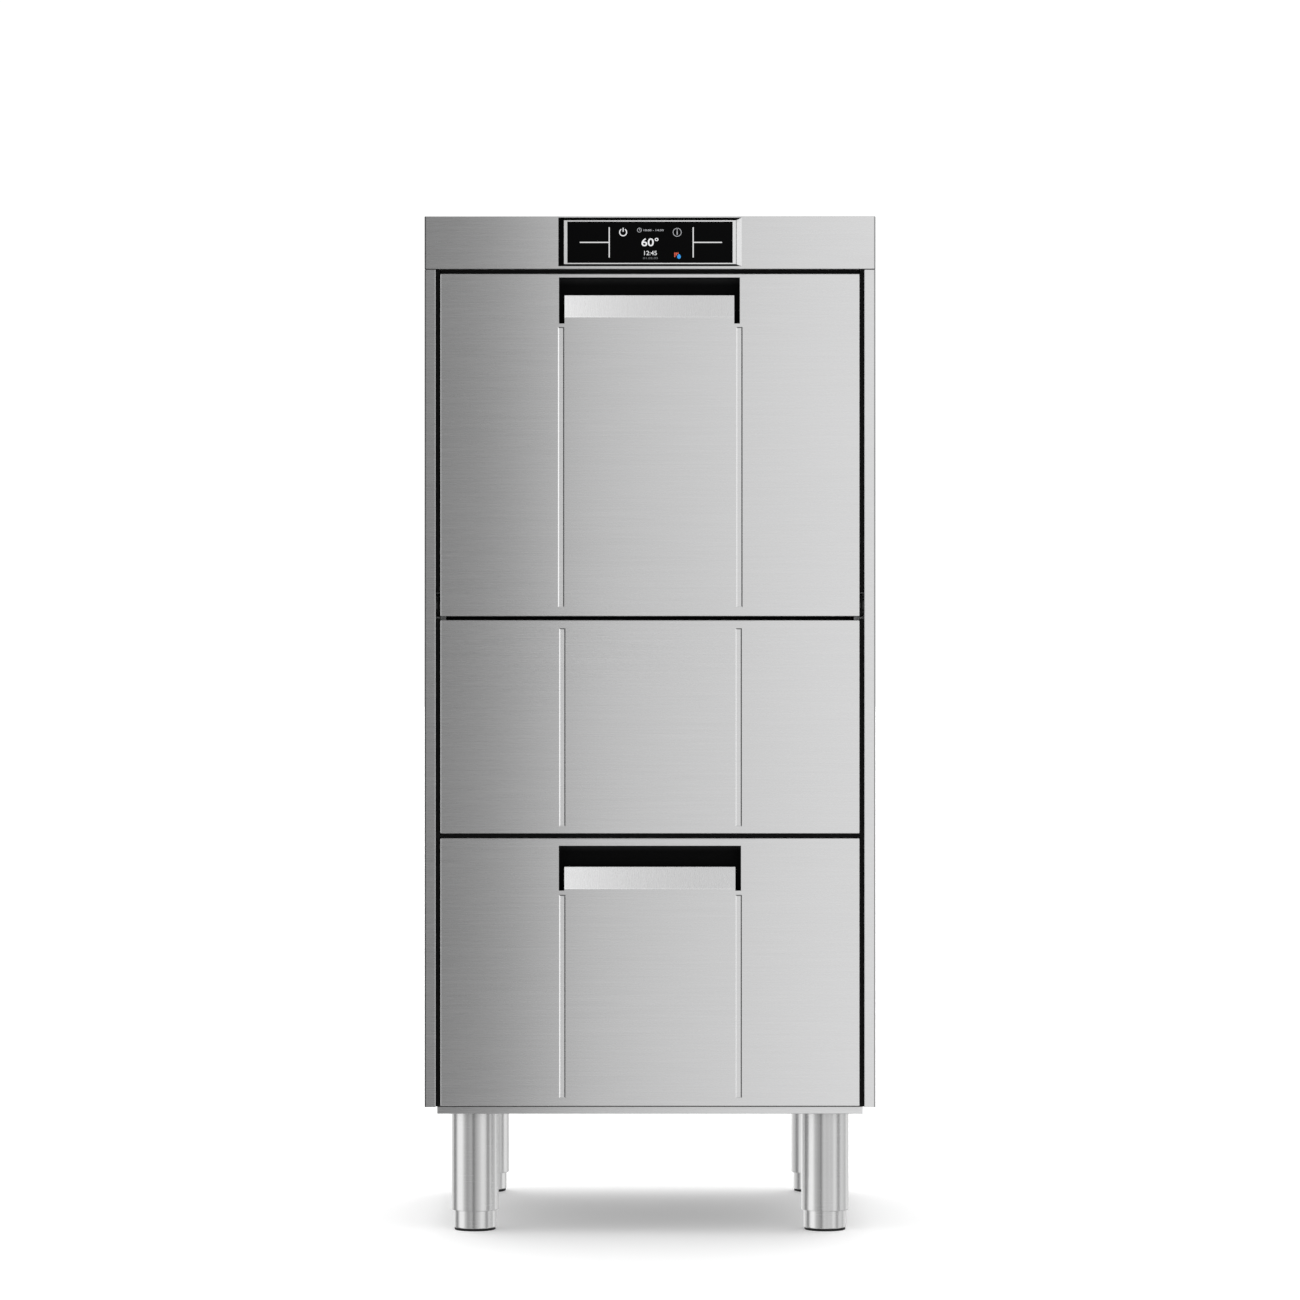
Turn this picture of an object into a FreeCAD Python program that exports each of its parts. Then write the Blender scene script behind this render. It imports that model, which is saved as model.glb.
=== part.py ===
# Free-standing front-loading dishwasher, 600 mm wide, standing on a base
# cabinet with one drawer and four adjustable round legs.
# Millimetres, +Z up.  Origin: bottom centre of the overall box, on the floor.
# The door and the drawer face -Y.
import FreeCAD, Part
import math
import os

V = FreeCAD.Vector

# ------------------------------------------------------------ driving sizes
HALF_W = 300.0            # half of the overall width
HEIGHT = 1355.0           # floor to the top cover
Y_BEAD = -300.0           # top of the raised beads, the foremost surface
Y_FRONT = -299.0          # face of door, panels and drawer front
Y_REAR = 298.4            # rear flanges of the side panels
Y_SCREW = 300.0           # heads of the rear screws, the rearmost surface
SHEET = 1.2               # outer sheet steel

Z_SIDE = 169.8            # lower edge of the side panels
Z_RAIL = 169.4            # upper edge of the base tray's front rail
Z_FASCIA = 1285.0         # lower edge of the control fascia
Z_SEAM = 1284.0           # upper edge of the side panels, a fine seam below the fascia
FLANGE_X = 285.1          # inner edge of the side panels' front flange

DOOR_X = 279.2            # half width of door, lower panel and drawer front
DOOR_Z0, DOOR_Z1 = 823.0, 1278.5
PANEL_Z0, PANEL_Z1 = 533.8, 817.7
DRAWER_Z0, DRAWER_Z1 = 171.2, 527.5
DOOR_T = 37.0             # thickness of door and drawer front
Y_DOOR_IN = Y_FRONT + DOOR_T          # inner face of the door, -262

PIVOT_Y, PIVOT_Z = -290.0, 837.5      # door hinge axis, along X

BEAD_W = 8.4              # raised vertical beads
FOLD_R = 1.5              # outside radius of folded sheet

LEG_X, LEG_Y = 235.0, 235.0
SLEEVE_R, SLEEVE_BORE = 31.75, 28.6
SLEEVE_Z0, SLEEVE_Z1 = 27.0, 160.0
FOOT_R = 28.5
PAD_R, PAD_T = 27.5, 3.0

TUB_X, TUB_Y0, TUB_Y1 = 255.0, -256.0, 255.0
TUB_Z0, TUB_Z1 = 862.0, 1263.0

RUN_Z = 300.0             # height of the drawer runners
RUN_Y0, RUN_Y1 = -258.0, 228.0

PUMP_Y, PUMP_Z = -45.0, 620.0         # wash pump axis, along X

os.makedirs("parts", exist_ok=True)


# ------------------------------------------------------------ helpers
def box(x0, x1, y0, y1, z0, z1):
    return Part.makeBox(x1 - x0, y1 - y0, z1 - z0, V(x0, y0, z0))


def cyl(r, x, y, z, axis, length):
    d = {"x": V(1, 0, 0), "y": V(0, 1, 0), "z": V(0, 0, 1)}[axis]
    return Part.makeCylinder(r, length, V(x, y, z), d)


def fuse(first, *rest):
    if not rest:
        return first
    return first.multiFuse(list(rest)).removeSplitter()


def cut(first, *rest):
    if not rest:
        return first
    return first.cut(list(rest))


def mirror_x(shape):
    return shape.mirror(V(0, 0, 0), V(1, 0, 0))


def both(shape):
    return [shape, mirror_x(shape)]


def poly_prism_x(points_yz, x0, x1):
    pts = [V(x0, y, z) for y, z in points_yz]
    wire = Part.makePolygon(pts + [pts[0]])
    return Part.Face(wire).extrude(V(x1 - x0, 0, 0))


def poly_prism_z(points_xy, z0, z1):
    pts = [V(x, y, z0) for x, y in points_xy]
    wire = Part.makePolygon(pts + [pts[0]])
    return Part.Face(wire).extrude(V(0, 0, z1 - z0))


def rect_xz(x0, x1, z0, z1, y):
    pts = [V(x0, y, z0), V(x1, y, z0), V(x1, y, z1), V(x0, y, z1)]
    return Part.makePolygon(pts + [pts[0]])


def rect_xy(x0, x1, y0, y1, z):
    pts = [V(x0, y0, z), V(x1, y0, z), V(x1, y1, z), V(x0, y1, z)]
    return Part.makePolygon(pts + [pts[0]])


def loft(w1, w2):
    return Part.makeLoft([w1, w2], True, True)


def fillet_where(shape, r, test):
    edges = [e for e in shape.Edges if test(e)]
    return shape.makeFillet(r, edges) if edges else shape


def on(e, **planes):
    """True where every vertex of the edge lies on the given planes."""
    for v in e.Vertexes:
        for k, val in planes.items():
            if abs(getattr(v.Point, k) - val) > 1e-5:
                return False
    return True


def pan(x0, x1, z0, z1, y0, y1, t, r):
    """Folded sheet tray: face at y0, edges folded back to y1, rounded folds."""
    outer = box(x0, x1, y0, y1, z0, z1)
    outer = fillet_where(outer, r, lambda e: on(e, y=y0)
                         or (on(e, x=x0) and on(e, z=z0)) or (on(e, x=x0) and on(e, z=z1))
                         or (on(e, x=x1) and on(e, z=z0)) or (on(e, x=x1) and on(e, z=z1)))
    return outer.cut(box(x0 + t, x1 - t, y0 + t, y1 + 1, z0 + t, z1 - t))


def bead(xc, z0, z1):
    """Raised flat-topped bead on a front sheet."""
    h = BEAD_W / 2.0
    slope = 1.55              # run of the flanks for each millimetre of height
    base = rect_xz(xc - h - slope * 0.5, xc + h + slope * 0.5, z0 - slope * 0.5, z1 + slope * 0.5, Y_FRONT + 0.5)
    top = rect_xz(xc - h + slope, xc + h - slope, z0 + slope, z1 - slope, Y_BEAD)
    b = loft(base, top)
    return b


def grip_cut(x0, x1, z_top, tab0, tab1, z_tab, z_slot):
    """Opening above the pull lip and the two slots beside it."""
    y0, y1 = Y_FRONT - 1, Y_FRONT + SHEET + 0.5
    return [box(x0, x1, y0, y1, z_tab, z_top), box(tab1, x1, y0, y1, z_slot, z_tab + 1),
            box(x0, tab0, y0, y1, z_slot, z_tab + 1)]


def lip(tab0, tab1, z_crease, z_tab, lean, hem):
    """Pull lip: leans back above its crease, its top edge folded inwards."""
    y = Y_FRONT
    t = SHEET
    pts = [(y, z_crease), (y + lean, z_tab), (y + lean + hem, z_tab),
           (y + lean + hem, z_tab - t), (y + lean + t * 1.05, z_tab - t), (y + t, z_crease)]
    s = poly_prism_x(pts, tab0, tab1)
    s = fillet_where(s, 0.9, lambda e: on(e, y=y + lean, z=z_tab))
    return s


def grip_cup(z0, z1, y_back):
    """Black moulded cup that closes the pocket behind a pull lip."""
    y0 = Y_FRONT + SHEET
    outer = box(-124.0, 124.0, y0, y_back, z0, z1)
    outer = fillet_where(outer, 4.0, lambda e: on(e, y=y_back))
    inner = box(-121.5, 121.5, y0 - 1, y_back - 2.0, z0 + 2.0, z1 - 2.0)
    inner = fillet_where(inner, 3.0, lambda e: on(e, y=y_back - 2.0))
    return outer.cut(inner)


def tube_path(points, r_out, r_in, bend):
    """Hollow pipe along straight runs joined by tangent arcs."""
    pts = [V(*p) for p in points]
    edges = []
    start = pts[0]
    for i in range(1, len(pts) - 1):
        a = (pts[i - 1] - pts[i])
        b = (pts[i + 1] - pts[i])
        a.normalize()
        b.normalize()
        ang = math.acos(max(-1, min(1, a.dot(b))))
        t = bend / math.tan(ang / 2.0)
        p1 = pts[i] + a * t
        p2 = pts[i] + b * t
        m = (a + b)
        m.normalize()
        mid = pts[i] + m * (bend / math.sin(ang / 2.0) - bend)
        if (p1 - start).Length > 1e-6:
            edges.append(Part.LineSegment(start, p1).toShape())
        edges.append(Part.Arc(p1, mid, p2).toShape())
        start = p2
    edges.append(Part.LineSegment(start, pts[-1]).toShape())
    wire = Part.Wire(edges)
    d = pts[1] - pts[0]

    def sweep(r):
        circle = Part.Wire([Part.Circle(pts[0], d, r).toShape()])
        return wire.makePipeShell([circle], True, False)

    length = sum(e.Length for e in edges)
    outer = sweep(r_out)
    inner = sweep(r_in)
    s = outer.cut(inner)
    want = math.pi * (r_out ** 2 - r_in ** 2) * length
    if abs(s.Volume - want) > 0.02 * want:
        print("pipe volume off", s.Volume, want)
    return s


total = {"n": 0, "solids": 0}


def save(name, *shapes):
    solids = []
    for s in shapes:
        for q in (s if isinstance(s, (list, tuple)) else [s]):
            if not q.Solids:
                print("NO SOLID in", name)
            solids.extend(q.Solids)
    for q in solids:
        if not q.isValid():
            print("INVALID solid in", name)
        if q.Volume < 0:
            print("negative volume in", name)
    shape = solids[0] if len(solids) == 1 else Part.makeCompound(solids)
    shape.exportStep("parts/" + name + ".step")
    bb = shape.BoundBox
    print("%-24s %2d solid(s) %10.1f cm3  x %7.1f %7.1f  y %7.1f %7.1f  z %7.1f %7.1f" % (
        name, len(solids), sum(q.Volume for q in solids) / 1000.0,
        bb.XMin, bb.XMax, bb.YMin, bb.YMax, bb.ZMin, bb.ZMax))
    total["n"] += 1
    total["solids"] += len(solids)


# ------------------------------------------------------------ base and legs
tray = fuse(
    box(-283.5, 283.5, -290, 290, 160, 162),
    box(282.0, 283.5, -290, 290, 160, Z_RAIL),
    box(-283.5, -282.0, -290, 290, 160, Z_RAIL),
    box(282.0, 283.5, -272, 290, 160, 215),
    box(-283.5, -282.0, -272, 290, 160, 215),
    box(-283.5, 283.5, -290, -288.5, 160, Z_RAIL),
    box(-283.5, 283.5, 288.5, 290, 160, 215))
leg_xy = [(-LEG_X, -LEG_Y), (LEG_X, -LEG_Y), (-LEG_X, LEG_Y), (LEG_X, LEG_Y)]
tray = cut(tray, *[cyl(6.2, x, y, 155, "z", 10) for x, y in leg_xy])
tray = fillet_where(tray, 1.2, lambda e: on(e, y=-290.0, z=160.0))
save("base_tray", tray)


def sleeve(x, y):
    # tube with a threaded plate across it and a closed top under the tray
    s = cyl(SLEEVE_R, x, y, SLEEVE_Z0, "z", SLEEVE_Z1 - SLEEVE_Z0)
    s = fillet_where(s, 0.8, lambda e: len(e.Vertexes) > 0 and abs(e.Vertexes[0].Point.z - SLEEVE_Z0) < 1e-5
                     and abs(e.BoundBox.ZMax - SLEEVE_Z0) < 1e-5)
    s = s.cut([cyl(SLEEVE_BORE, x, y, SLEEVE_Z0 - 1, "z", 101 - SLEEVE_Z0),
               cyl(8.1, x, y, 99, "z", 14),
               cyl(SLEEVE_BORE, x, y, 112, "z", 38),
               cyl(6.2, x, y, 149, "z", 12)])
    return s


save("leg_sleeves", [sleeve(x, y) for x, y in leg_xy])


def foot(x, y):
    # turned cup that runs in the sleeve, with a threaded stud up its middle
    s = cyl(FOOT_R, x, y, PAD_T, "z", 99.7 - PAD_T)
    s = fillet_where(s, 1.6, lambda e: e.BoundBox.ZMax < PAD_T + 1e-5)
    s = s.cut(cyl(25.5, x, y, 9, "z", 95))
    return fuse(s, cyl(8.0, x, y, 8.5, "z", 145 - 8.5))


def pad(x, y):
    s = cyl(PAD_R, x, y, 0, "z", PAD_T)
    return fillet_where(s, 0.9, lambda e: e.BoundBox.ZMax < 1e-5)


for name, (x, y) in zip(("front_left", "front_right", "rear_left", "rear_right"), leg_xy):
    save("foot_" + name, foot(x, y))
    save("foot_pad_" + name, pad(x, y))

# ------------------------------------------------------------ outer shell
side = fuse(
    box(HALF_W - SHEET, HALF_W, Y_FRONT, Y_REAR, Z_SIDE, Z_SEAM),
    box(FLANGE_X, HALF_W, Y_FRONT, Y_FRONT + SHEET, Z_SIDE, Z_SEAM),
    box(FLANGE_X, FLANGE_X + SHEET, Y_FRONT, -270, Z_SIDE, Z_SEAM),
    box(276, HALF_W, Y_REAR - SHEET, Y_REAR, Z_SIDE, Z_SEAM),
    box(288, HALF_W, -265, Y_REAR, Z_SEAM - SHEET, Z_SEAM),
    box(283.5, HALF_W, -265, Y_REAR, Z_SIDE, Z_SIDE + SHEET))
side = fillet_where(side, FOLD_R, lambda e: on(e, x=HALF_W, y=Y_FRONT) or on(e, x=HALF_W, y=Y_REAR))
side = fillet_where(side, 1.0, lambda e: on(e, x=FLANGE_X, y=Y_FRONT))
screw_z = (215.0, 480.0, 745.0, 1010.0, 1255.0)
side = cut(side, *[cyl(2.2, 287, Y_REAR - 4, z, "y", 6) for z in screw_z])
save("side_panel_right", side)
save("side_panel_left", mirror_x(side))

# rear panel: upper and lower sheets with ventilation slots, and between them the
# connection box, a recessed plate with its own top and bottom strips and two side sheets
RY0, RY1 = 296.0, 297.2


def slotted(z0, z1, s0, s1):
    sheet = box(-298.8, 298.8, RY0, RY1, z0, z1)
    return sheet.cut([box(-132.5 + 20 * c, -127.5 + 20 * c, RY0 - 2, RY1 + 2, s0, s1) for c in range(14)])


rear_sheets = [slotted(172.8, 519.8, 440, 490), slotted(760.3, Z_SEAM - SHEET, 1180, 1240),
               box(151.4, 298.8, RY0, RY1, 520.2, 759.9), box(-298.8, -151.4, RY0, RY1, 520.2, 759.9)]
rear_sheets = [q.cut([cyl(2.2, s * 287, 294, z, "y", 6) for z in screw_z for s in (-1, 1)]) for q in rear_sheets]
strips = [box(-151.2, 151.2, RY0, RY1, 520.2, 545), box(-151.2, 151.2, RY0, RY1, 700, 759.9)]
plate = box(-151.2, 151.2, 254.0, 255.2, 543.8, 701.2)
plate = cut(plate, cyl(13.4, -100, 252, 620, "y", 6), cyl(15.2, 100, 252, 590, "y", 6),
            cyl(10.2, 0, 252, 660, "y", 6))
walls = [box(-151.2, -150, 255.2, RY0, 543.8, 701.2), box(150, 151.2, 255.2, RY0, 543.8, 701.2),
         box(-150, 150, 255.2, RY0, 543.8, 545), box(-150, 150, 255.2, RY0, 700, 701.2)]
save("rear_panel", rear_sheets, strips, plate, walls)

# lid behind the fascia, with skirts
lid = box(-HALF_W, HALF_W, -260, Y_REAR, Z_FASCIA, HEIGHT)
lid = fillet_where(lid, FOLD_R, lambda e: on(e, x=HALF_W, z=HEIGHT) or on(e, x=-HALF_W, z=HEIGHT)
                   or on(e, y=Y_REAR, z=HEIGHT) or on(e, x=HALF_W, y=Y_REAR) or on(e, x=-HALF_W, y=Y_REAR))
lid = lid.cut(box(-HALF_W + SHEET, HALF_W - SHEET, -261, Y_REAR - SHEET, Z_FASCIA - 1, HEIGHT - SHEET))
tongue = box(-298.6, 298.6, -270, -259, HEIGHT - 2 * SHEET, HEIGHT - SHEET)
save("top_cover", fuse(lid, tongue))

# control fascia with the sloped recess around the display
DISP_ZC = 1321.1
fas = box(-HALF_W, HALF_W, Y_FRONT, -260.4, Z_FASCIA, HEIGHT)
fas = fillet_where(fas, 1.2, lambda e: on(e, y=Y_FRONT) or on(e, x=HALF_W, z=HEIGHT) or on(e, x=-HALF_W, z=HEIGHT))
fas = fas.cut(box(-HALF_W + SHEET, HALF_W - SHEET, Y_FRONT + SHEET, -250, Z_FASCIA + SHEET, HEIGHT - SHEET))
back = box(-125.5, 125.5, Y_FRONT + SHEET - 0.1, Y_FRONT + 5.7, Z_FASCIA + SHEET, HEIGHT - SHEET)
fas = fuse(fas, back)
mouth = loft(rect_xz(-122.0, 122.0, 1288.6, 1353.4, Y_FRONT),
             rect_xz(-114.8, 114.8, 1291.6, 1350.2, Y_FRONT + 4.5))
mouth = mouth.fuse(box(-112, 112, Y_FRONT + 4.5, Y_FRONT + 8, 1292.4, 1349.4))
fas = fas.cut(mouth)
save("control_fascia", fas)

bez = box(-114.5, 114.5, Y_FRONT + 3.7, Y_FRONT + 4.5, 1291.8, 1350.0)
bez = bez.cut(box(-110.1, 110.1, Y_FRONT + 3, Y_FRONT + 6, 1293.3, 1348.3))
save("display_bezel", bez)
gl = box(-110.0, 110.0, Y_FRONT + 3.9, Y_FRONT + 7.2, 1293.4, 1348.2)
gl = fillet_where(gl, 0.4, lambda e: on(e, y=Y_FRONT + 3.9))
save("display_glass", gl)
module = fuse(box(-106, 106, Y_FRONT + 7.2, Y_FRONT + 12, 1296, 1345.5),
              box(-118, 118, Y_FRONT + 12, Y_FRONT + 13.6, 1289, 1350))
chips = [box(x0, x0 + w, Y_FRONT + 13.6, Y_FRONT + 13.6 + d, z0, z0 + h) for x0, z0, w, h, d in
         ((-100, 1300, 26, 20, 6), (-60, 1310, 18, 18, 3), (-20, 1296, 14, 30, 9), (20, 1302, 34, 12, 8),
          (70, 1300, 22, 32, 11))]
save("display_module", fuse(module, *chips))

# ------------------------------------------------------------ inner frame
up = fuse(box(273, 298.8, -258, -256.5, 531.2, Z_SEAM - SHEET),
          box(273, 274.5, -258, -238, 531.2, Z_SEAM - SHEET))
ear = box(280.2, 283.2, -296, -258, 822.5, 853)
ear = fillet_where(ear, 6.0, lambda e: on(e, y=-296.0, z=853.0) or on(e, y=-296.0, z=822.5))
ear = ear.cut(cyl(5.05, 279, PIVOT_Y, PIVOT_Z, "x", 6))
bar_mid = fuse(box(-264, 264, -258, -256.5, 770, 861.8), box(-273, 273, -258, -256.5, 770, 796),
               box(-273, 273, -258, -240, 770, 771.5))
bar_top = fuse(box(-273, 273, -258, -256.5, 1272.6, 1283.4), box(-273, 273, -258, -240, 1281.9, 1283.4))
save("inner_frame", both(up), both(ear), bar_mid, bar_top)

deck = box(-298.8, 298.8, -269, 296, 530, 531.2)
hook = box(266.5, 269.5, -236, -222, 531.2, 556)
hook = hook.cut(cyl(3.0, 265, -229, 548, "x", 6))
save("machine_deck", deck, both(hook))

trims = both(box(279.9, FLANGE_X, -290, -274, Z_SIDE, 820)) + both(box(279.9, FLANGE_X, -290, -274, 855, 1284.9))
trims += [box(-279, 279, -286, -274, 1280.8, 1284.9), box(-279, 279, -290, -274, 528.3, 533.7),
          box(-264, 264, -259.8, -258.0, 817.9, 825.4)]
save("gap_trims", trims)

# fixed panel between door and drawer
low = pan(-DOOR_X, DOOR_X, PANEL_Z0, PANEL_Z1, Y_FRONT, -258.0, SHEET, FOLD_R)
low = fuse(low, bead(-116.7, 543.2, 807.0), bead(118.0, 543.2, 807.0))
save("lower_front_panel", low)

# ------------------------------------------------------------ tub
wall = fuse(box(TUB_X, TUB_X + 1, TUB_Y0, TUB_Y1 + 1, TUB_Z0, TUB_Z1),
            box(TUB_X, 264, TUB_Y0, TUB_Y0 + 1, TUB_Z0, 1272))
back = box(-TUB_X, TUB_X, TUB_Y1, TUB_Y1 + 1, TUB_Z0, TUB_Z1)
rail = fuse(box(253.8, TUB_X, -245, 245, 893, 912), box(238, TUB_X, -245, 245, 910.8, 912))
save("tub_walls", both(wall), back, both(rail))

roof = fuse(box(-TUB_X - 1, TUB_X + 1, TUB_Y0 + 1, TUB_Y1 + 1, TUB_Z1, TUB_Z1 + 1.2),
            box(-TUB_X, TUB_X, TUB_Y0, TUB_Y0 + 1, TUB_Z1, 1272))
roof = roof.cut(cyl(15.2, 0, 0, TUB_Z1 - 1, "z", 4))
save("tub_roof", roof)

outer = fuse(box(-211.5, 211.5, -201.5, 201.5, 770, 835.5),
             loft(rect_xy(-211.5, 211.5, -201.5, 201.5, 835.5), rect_xy(-256, 256, -256, 256, TUB_Z0)))
inner = fuse(box(-210.3, 210.3, -200.3, 200.3, 771.2, 836.5),
             loft(rect_xy(-210.3, 210.3, -200.3, 200.3, 836.5), rect_xy(-254.6, 254.6, -254.6, 254.6, TUB_Z0 + 0.001)))
sump = outer.cut(inner)
sump = sump.cut([cyl(19.0, -110, -45, 769, "z", 4), cyl(15.2, 0, 0, 769, "z", 4), cyl(10.0, 150, 108, 769, "z", 4)])
save("tub_sump", sump)

# seal around the tub mouth, four mitred lengths
sy0, sy1 = -261.7, -258.1
so, si = 263.5, 255.5
z0o, z0i, z1i, z1o = 862.5, 870.5, 1263.5, 1271.5


def seal_leg(p):
    pts = [V(x, sy0, z) for x, z in p]
    w = Part.makePolygon(pts + [pts[0]])
    return Part.Face(w).extrude(V(0, sy1 - sy0, 0))


seal = [seal_leg([(-so, z0o), (so, z0o), (si, z0i), (-si, z0i)]),
        seal_leg([(-so, z1o), (-si, z1i), (si, z1i), (so, z1o)]),
        seal_leg([(-so, z0o), (-si, z0i), (-si, z1i), (-so, z1o)]),
        seal_leg([(so, z0o), (so, z1o), (si, z1i), (si, z0i)])]
# carrier strips fix the seal to the tub's front flange
carrier = [box(256.5, 263.5, -258.1, -256.0, 870, 1264), box(-263.5, -256.5, -258.1, -256.0, 870, 1264),
           box(-256.5, 256.5, -258.1, -256.0, 1264.5, 1271.5)]
save("door_seal", seal, carrier)

# basket: base grid and four lattice sides
cell = 50.0
holes = [box(-225 + i * cell - 21.5, -225 + i * cell + 21.5, -225 + j * cell - 21.5, -225 + j * cell + 21.5, 911, 921)
         for i in range(10) for j in range(10)]
base = box(-250, 250, -250, 250, 912, 918).cut(Part.makeCompound(holes))


def lattice(x0, x1, y0, y1):
    w = box(x0, x1, y0, y1, 918, 1012)
    along_x = (x1 - x0) > (y1 - y0)
    cuts = []
    for i in range(10):
        c = -225 + i * cell
        for za, zb in ((924, 960), (966, 1002)):
            if along_x:
                cuts.append(box(c - 20, c + 20, y0 - 1, y1 + 1, za, zb))
            else:
                cuts.append(box(x0 - 1, x1 + 1, c - 20, c + 20, za, zb))
    return w.cut(Part.makeCompound(cuts))


save("rack", base, lattice(247, 250, -250, 250), lattice(-250, -247, -250, 250),
     lattice(-247, 247, 247, 250), lattice(-247, 247, -250, -247))

# flat tank filters (two halves) and the suction strainer
half = box(0.5, 214, -204, 204, 841, 842.2)
fcuts = [box(24 + i * 16, 30 + i * 16, -190 + j * 96, -106 + j * 96, 840, 844) for i in range(12) for j in range(4)]
half = half.cut(Part.makeCompound(fcuts)).cut(cyl(16.5, 0, 0, 840, "z", 4))
rim = box(206, 214, -204, 204, 842.2, 846)
strainer = cyl(30, -110, -45, 771.2, "z", 62).cut(cyl(28.6, -110, -45, 770, "z", 61.6))
scuts = [cyl(2.5, -110 - 40, -45, 782 + 12 * k, "x", 80) for k in range(4)] + \
        [cyl(2.5, -110, -45 - 40, 782 + 12 * k, "y", 80) for k in range(4)]
save("tank_filters", both(fuse(half, rim)), strainer.cut(scuts))

pipe = cyl(12, 150, 108, 771.2, "z", 62).cut(cyl(10.4, 150, 108, 770, "z", 64))
save("standpipe", fuse(pipe, cyl(16, 150, 108, 771.2, "z", 6).cut(cyl(11, 150, 108, 770, "z", 8))))

# fixed pedestals that carry and feed the spray arms
lo = fuse(cyl(38, 0, 0, 771.2, "z", 4), cyl(15, 0, 0, 770.0, "z", 122.3), cyl(20, 0, 0, 866, "z", 11.7),
          cyl(8, 0, 0, 892, "z", 16))
lo = lo.cut([cyl(10, 0, 0, 769, "z", 112), cyl(4, 0, 0, 880, "z", 30)])
hi = fuse(box(-25, 25, -25, 25, TUB_Z1 + 1.2, 1318), cyl(15, 0, 0, 1239.7, "z", 30), cyl(22, 0, 0, 1254.3, "z", 8.7),
          cyl(8, 0, 0, 1220, "z", 22))
hi = hi.cut([cyl(10, 0, 0, 1250, "z", 52), cyl(4, 0, 0, 1219, "z", 33),
             cyl(11, 0, 0, 1300, "y", 26), cyl(6, -26, 0, 1300, "x", 26)])
save("arm_pedestals", lo, hi)


def wash_arm(z0, up):
    # pressed hollow arm, tapered towards its tips, with a row of spray slots
    r = 232.0

    def outline(g):
        return [(-r + g, -11 + g), (-40, -19 + g), (40, -19 + g), (r - g, -11 + g), (r - g, 11 - g), (40, 19 - g),
                (-40, 19 - g), (-r + g, 11 - g)]

    body = poly_prism_z(outline(0), z0 + 1, z0 + 13)
    body = fillet_where(body, 3.0, lambda e: abs(e.BoundBox.ZMax - e.BoundBox.ZMin) < 1e-5)
    hollow = poly_prism_z(outline(3.6), z0 + 2.6, z0 + 11.4)
    hub = cyl(27, 0, 0, z0, "z", 14)
    s = body.cut(hollow)
    s = s.fuse(hub).cut(cyl(15.1, 0, 0, z0 - 1, "z", 16))
    zz = z0 + 9 if up else z0 - 2
    jets = []
    for k in range(7):
        for sgn in (-1, 1):
            xc = sgn * (58 + 26 * k)
            off = 3 if (k + (sgn > 0)) % 2 else -3
            jets.append(box(xc - 5, xc + 5, off - 1, off + 1, zz, zz + 7))
    return s.cut(jets).removeSplitter()


def rinse_arm(z0, up):
    tube = cyl(4.5, -222, 0, z0 + 5, "x", 444).cut([cyl(3.5, -220, 0, z0 + 5, "x", 440)])
    hub = cyl(16, 0, 0, z0, "z", 10)
    s = tube.fuse(hub).cut(cyl(8.1, 0, 0, z0 - 1, "z", 12))
    jets = [cyl(0.9, sgn * (50 + 28 * k), 0, z0 + (5 if up else -1), "z", 6) for k in range(6) for sgn in (-1, 1)]
    return s.cut(jets)


save("lower_wash_arm", wash_arm(878, True))
save("lower_rinse_arm", rinse_arm(895, True))
save("upper_wash_arm", wash_arm(1240, False))
save("upper_rinse_arm", rinse_arm(1227, False))

# ------------------------------------------------------------ wash pump
motor = cyl(55, 22, PUMP_Y, PUMP_Z, "x", 150)
motor = fillet_where(motor, 5.0, lambda e: e.BoundBox.XMin > 171.9)
fins = [box(32, 160, PUMP_Y + 52 * math.cos(a) - 2, PUMP_Y + 52 * math.cos(a) + 2, PUMP_Z + 52 * math.sin(a) - 2,
            PUMP_Z + 60 * math.sin(a) + 2) for a in (math.radians(60), math.radians(90), math.radians(120))]
foot_m = box(40, 150, PUMP_Y - 45, PUMP_Y + 45, 531.2, 572)
capac = box(60, 140, PUMP_Y - 28, PUMP_Y + 28, PUMP_Z + 50, PUMP_Z + 84)
motor = fuse(motor, foot_m, capac, *fins).cut(cyl(6.1, 21, PUMP_Y, PUMP_Z, "x", 131))
save("wash_pump_motor", motor)

vol = fuse(cyl(64, -22, PUMP_Y, PUMP_Z, "x", 44), cyl(22, -60, PUMP_Y, PUMP_Z, "x", 40),
           cyl(18, 0, 0, 625, "z", 75))
vol = vol.cut([cyl(58, -18, PUMP_Y, PUMP_Z, "x", 34), cyl(19, -61, PUMP_Y, PUMP_Z, "x", 45),
               cyl(15, 0, 0, 630, "z", 71), cyl(8.0, 14, PUMP_Y, PUMP_Z, "x", 9)])
save("wash_pump_volute", vol)

rot = fuse(cyl(50, 4, PUMP_Y, PUMP_Z, "x", 4), cyl(14, -12, PUMP_Y, PUMP_Z, "x", 17),
           cyl(6, 6, PUMP_Y, PUMP_Z, "x", 138))
blades = []
for k in range(6):
    b = box(-12, 5, 12, 46, -1.5, 1.5)
    b.rotate(V(0, 0, 0), V(1, 0, 0), 60 * k)
    b.translate(V(0, PUMP_Y, PUMP_Z))
    blades.append(b)
save("wash_pump_rotor", fuse(rot, *blades))

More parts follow.
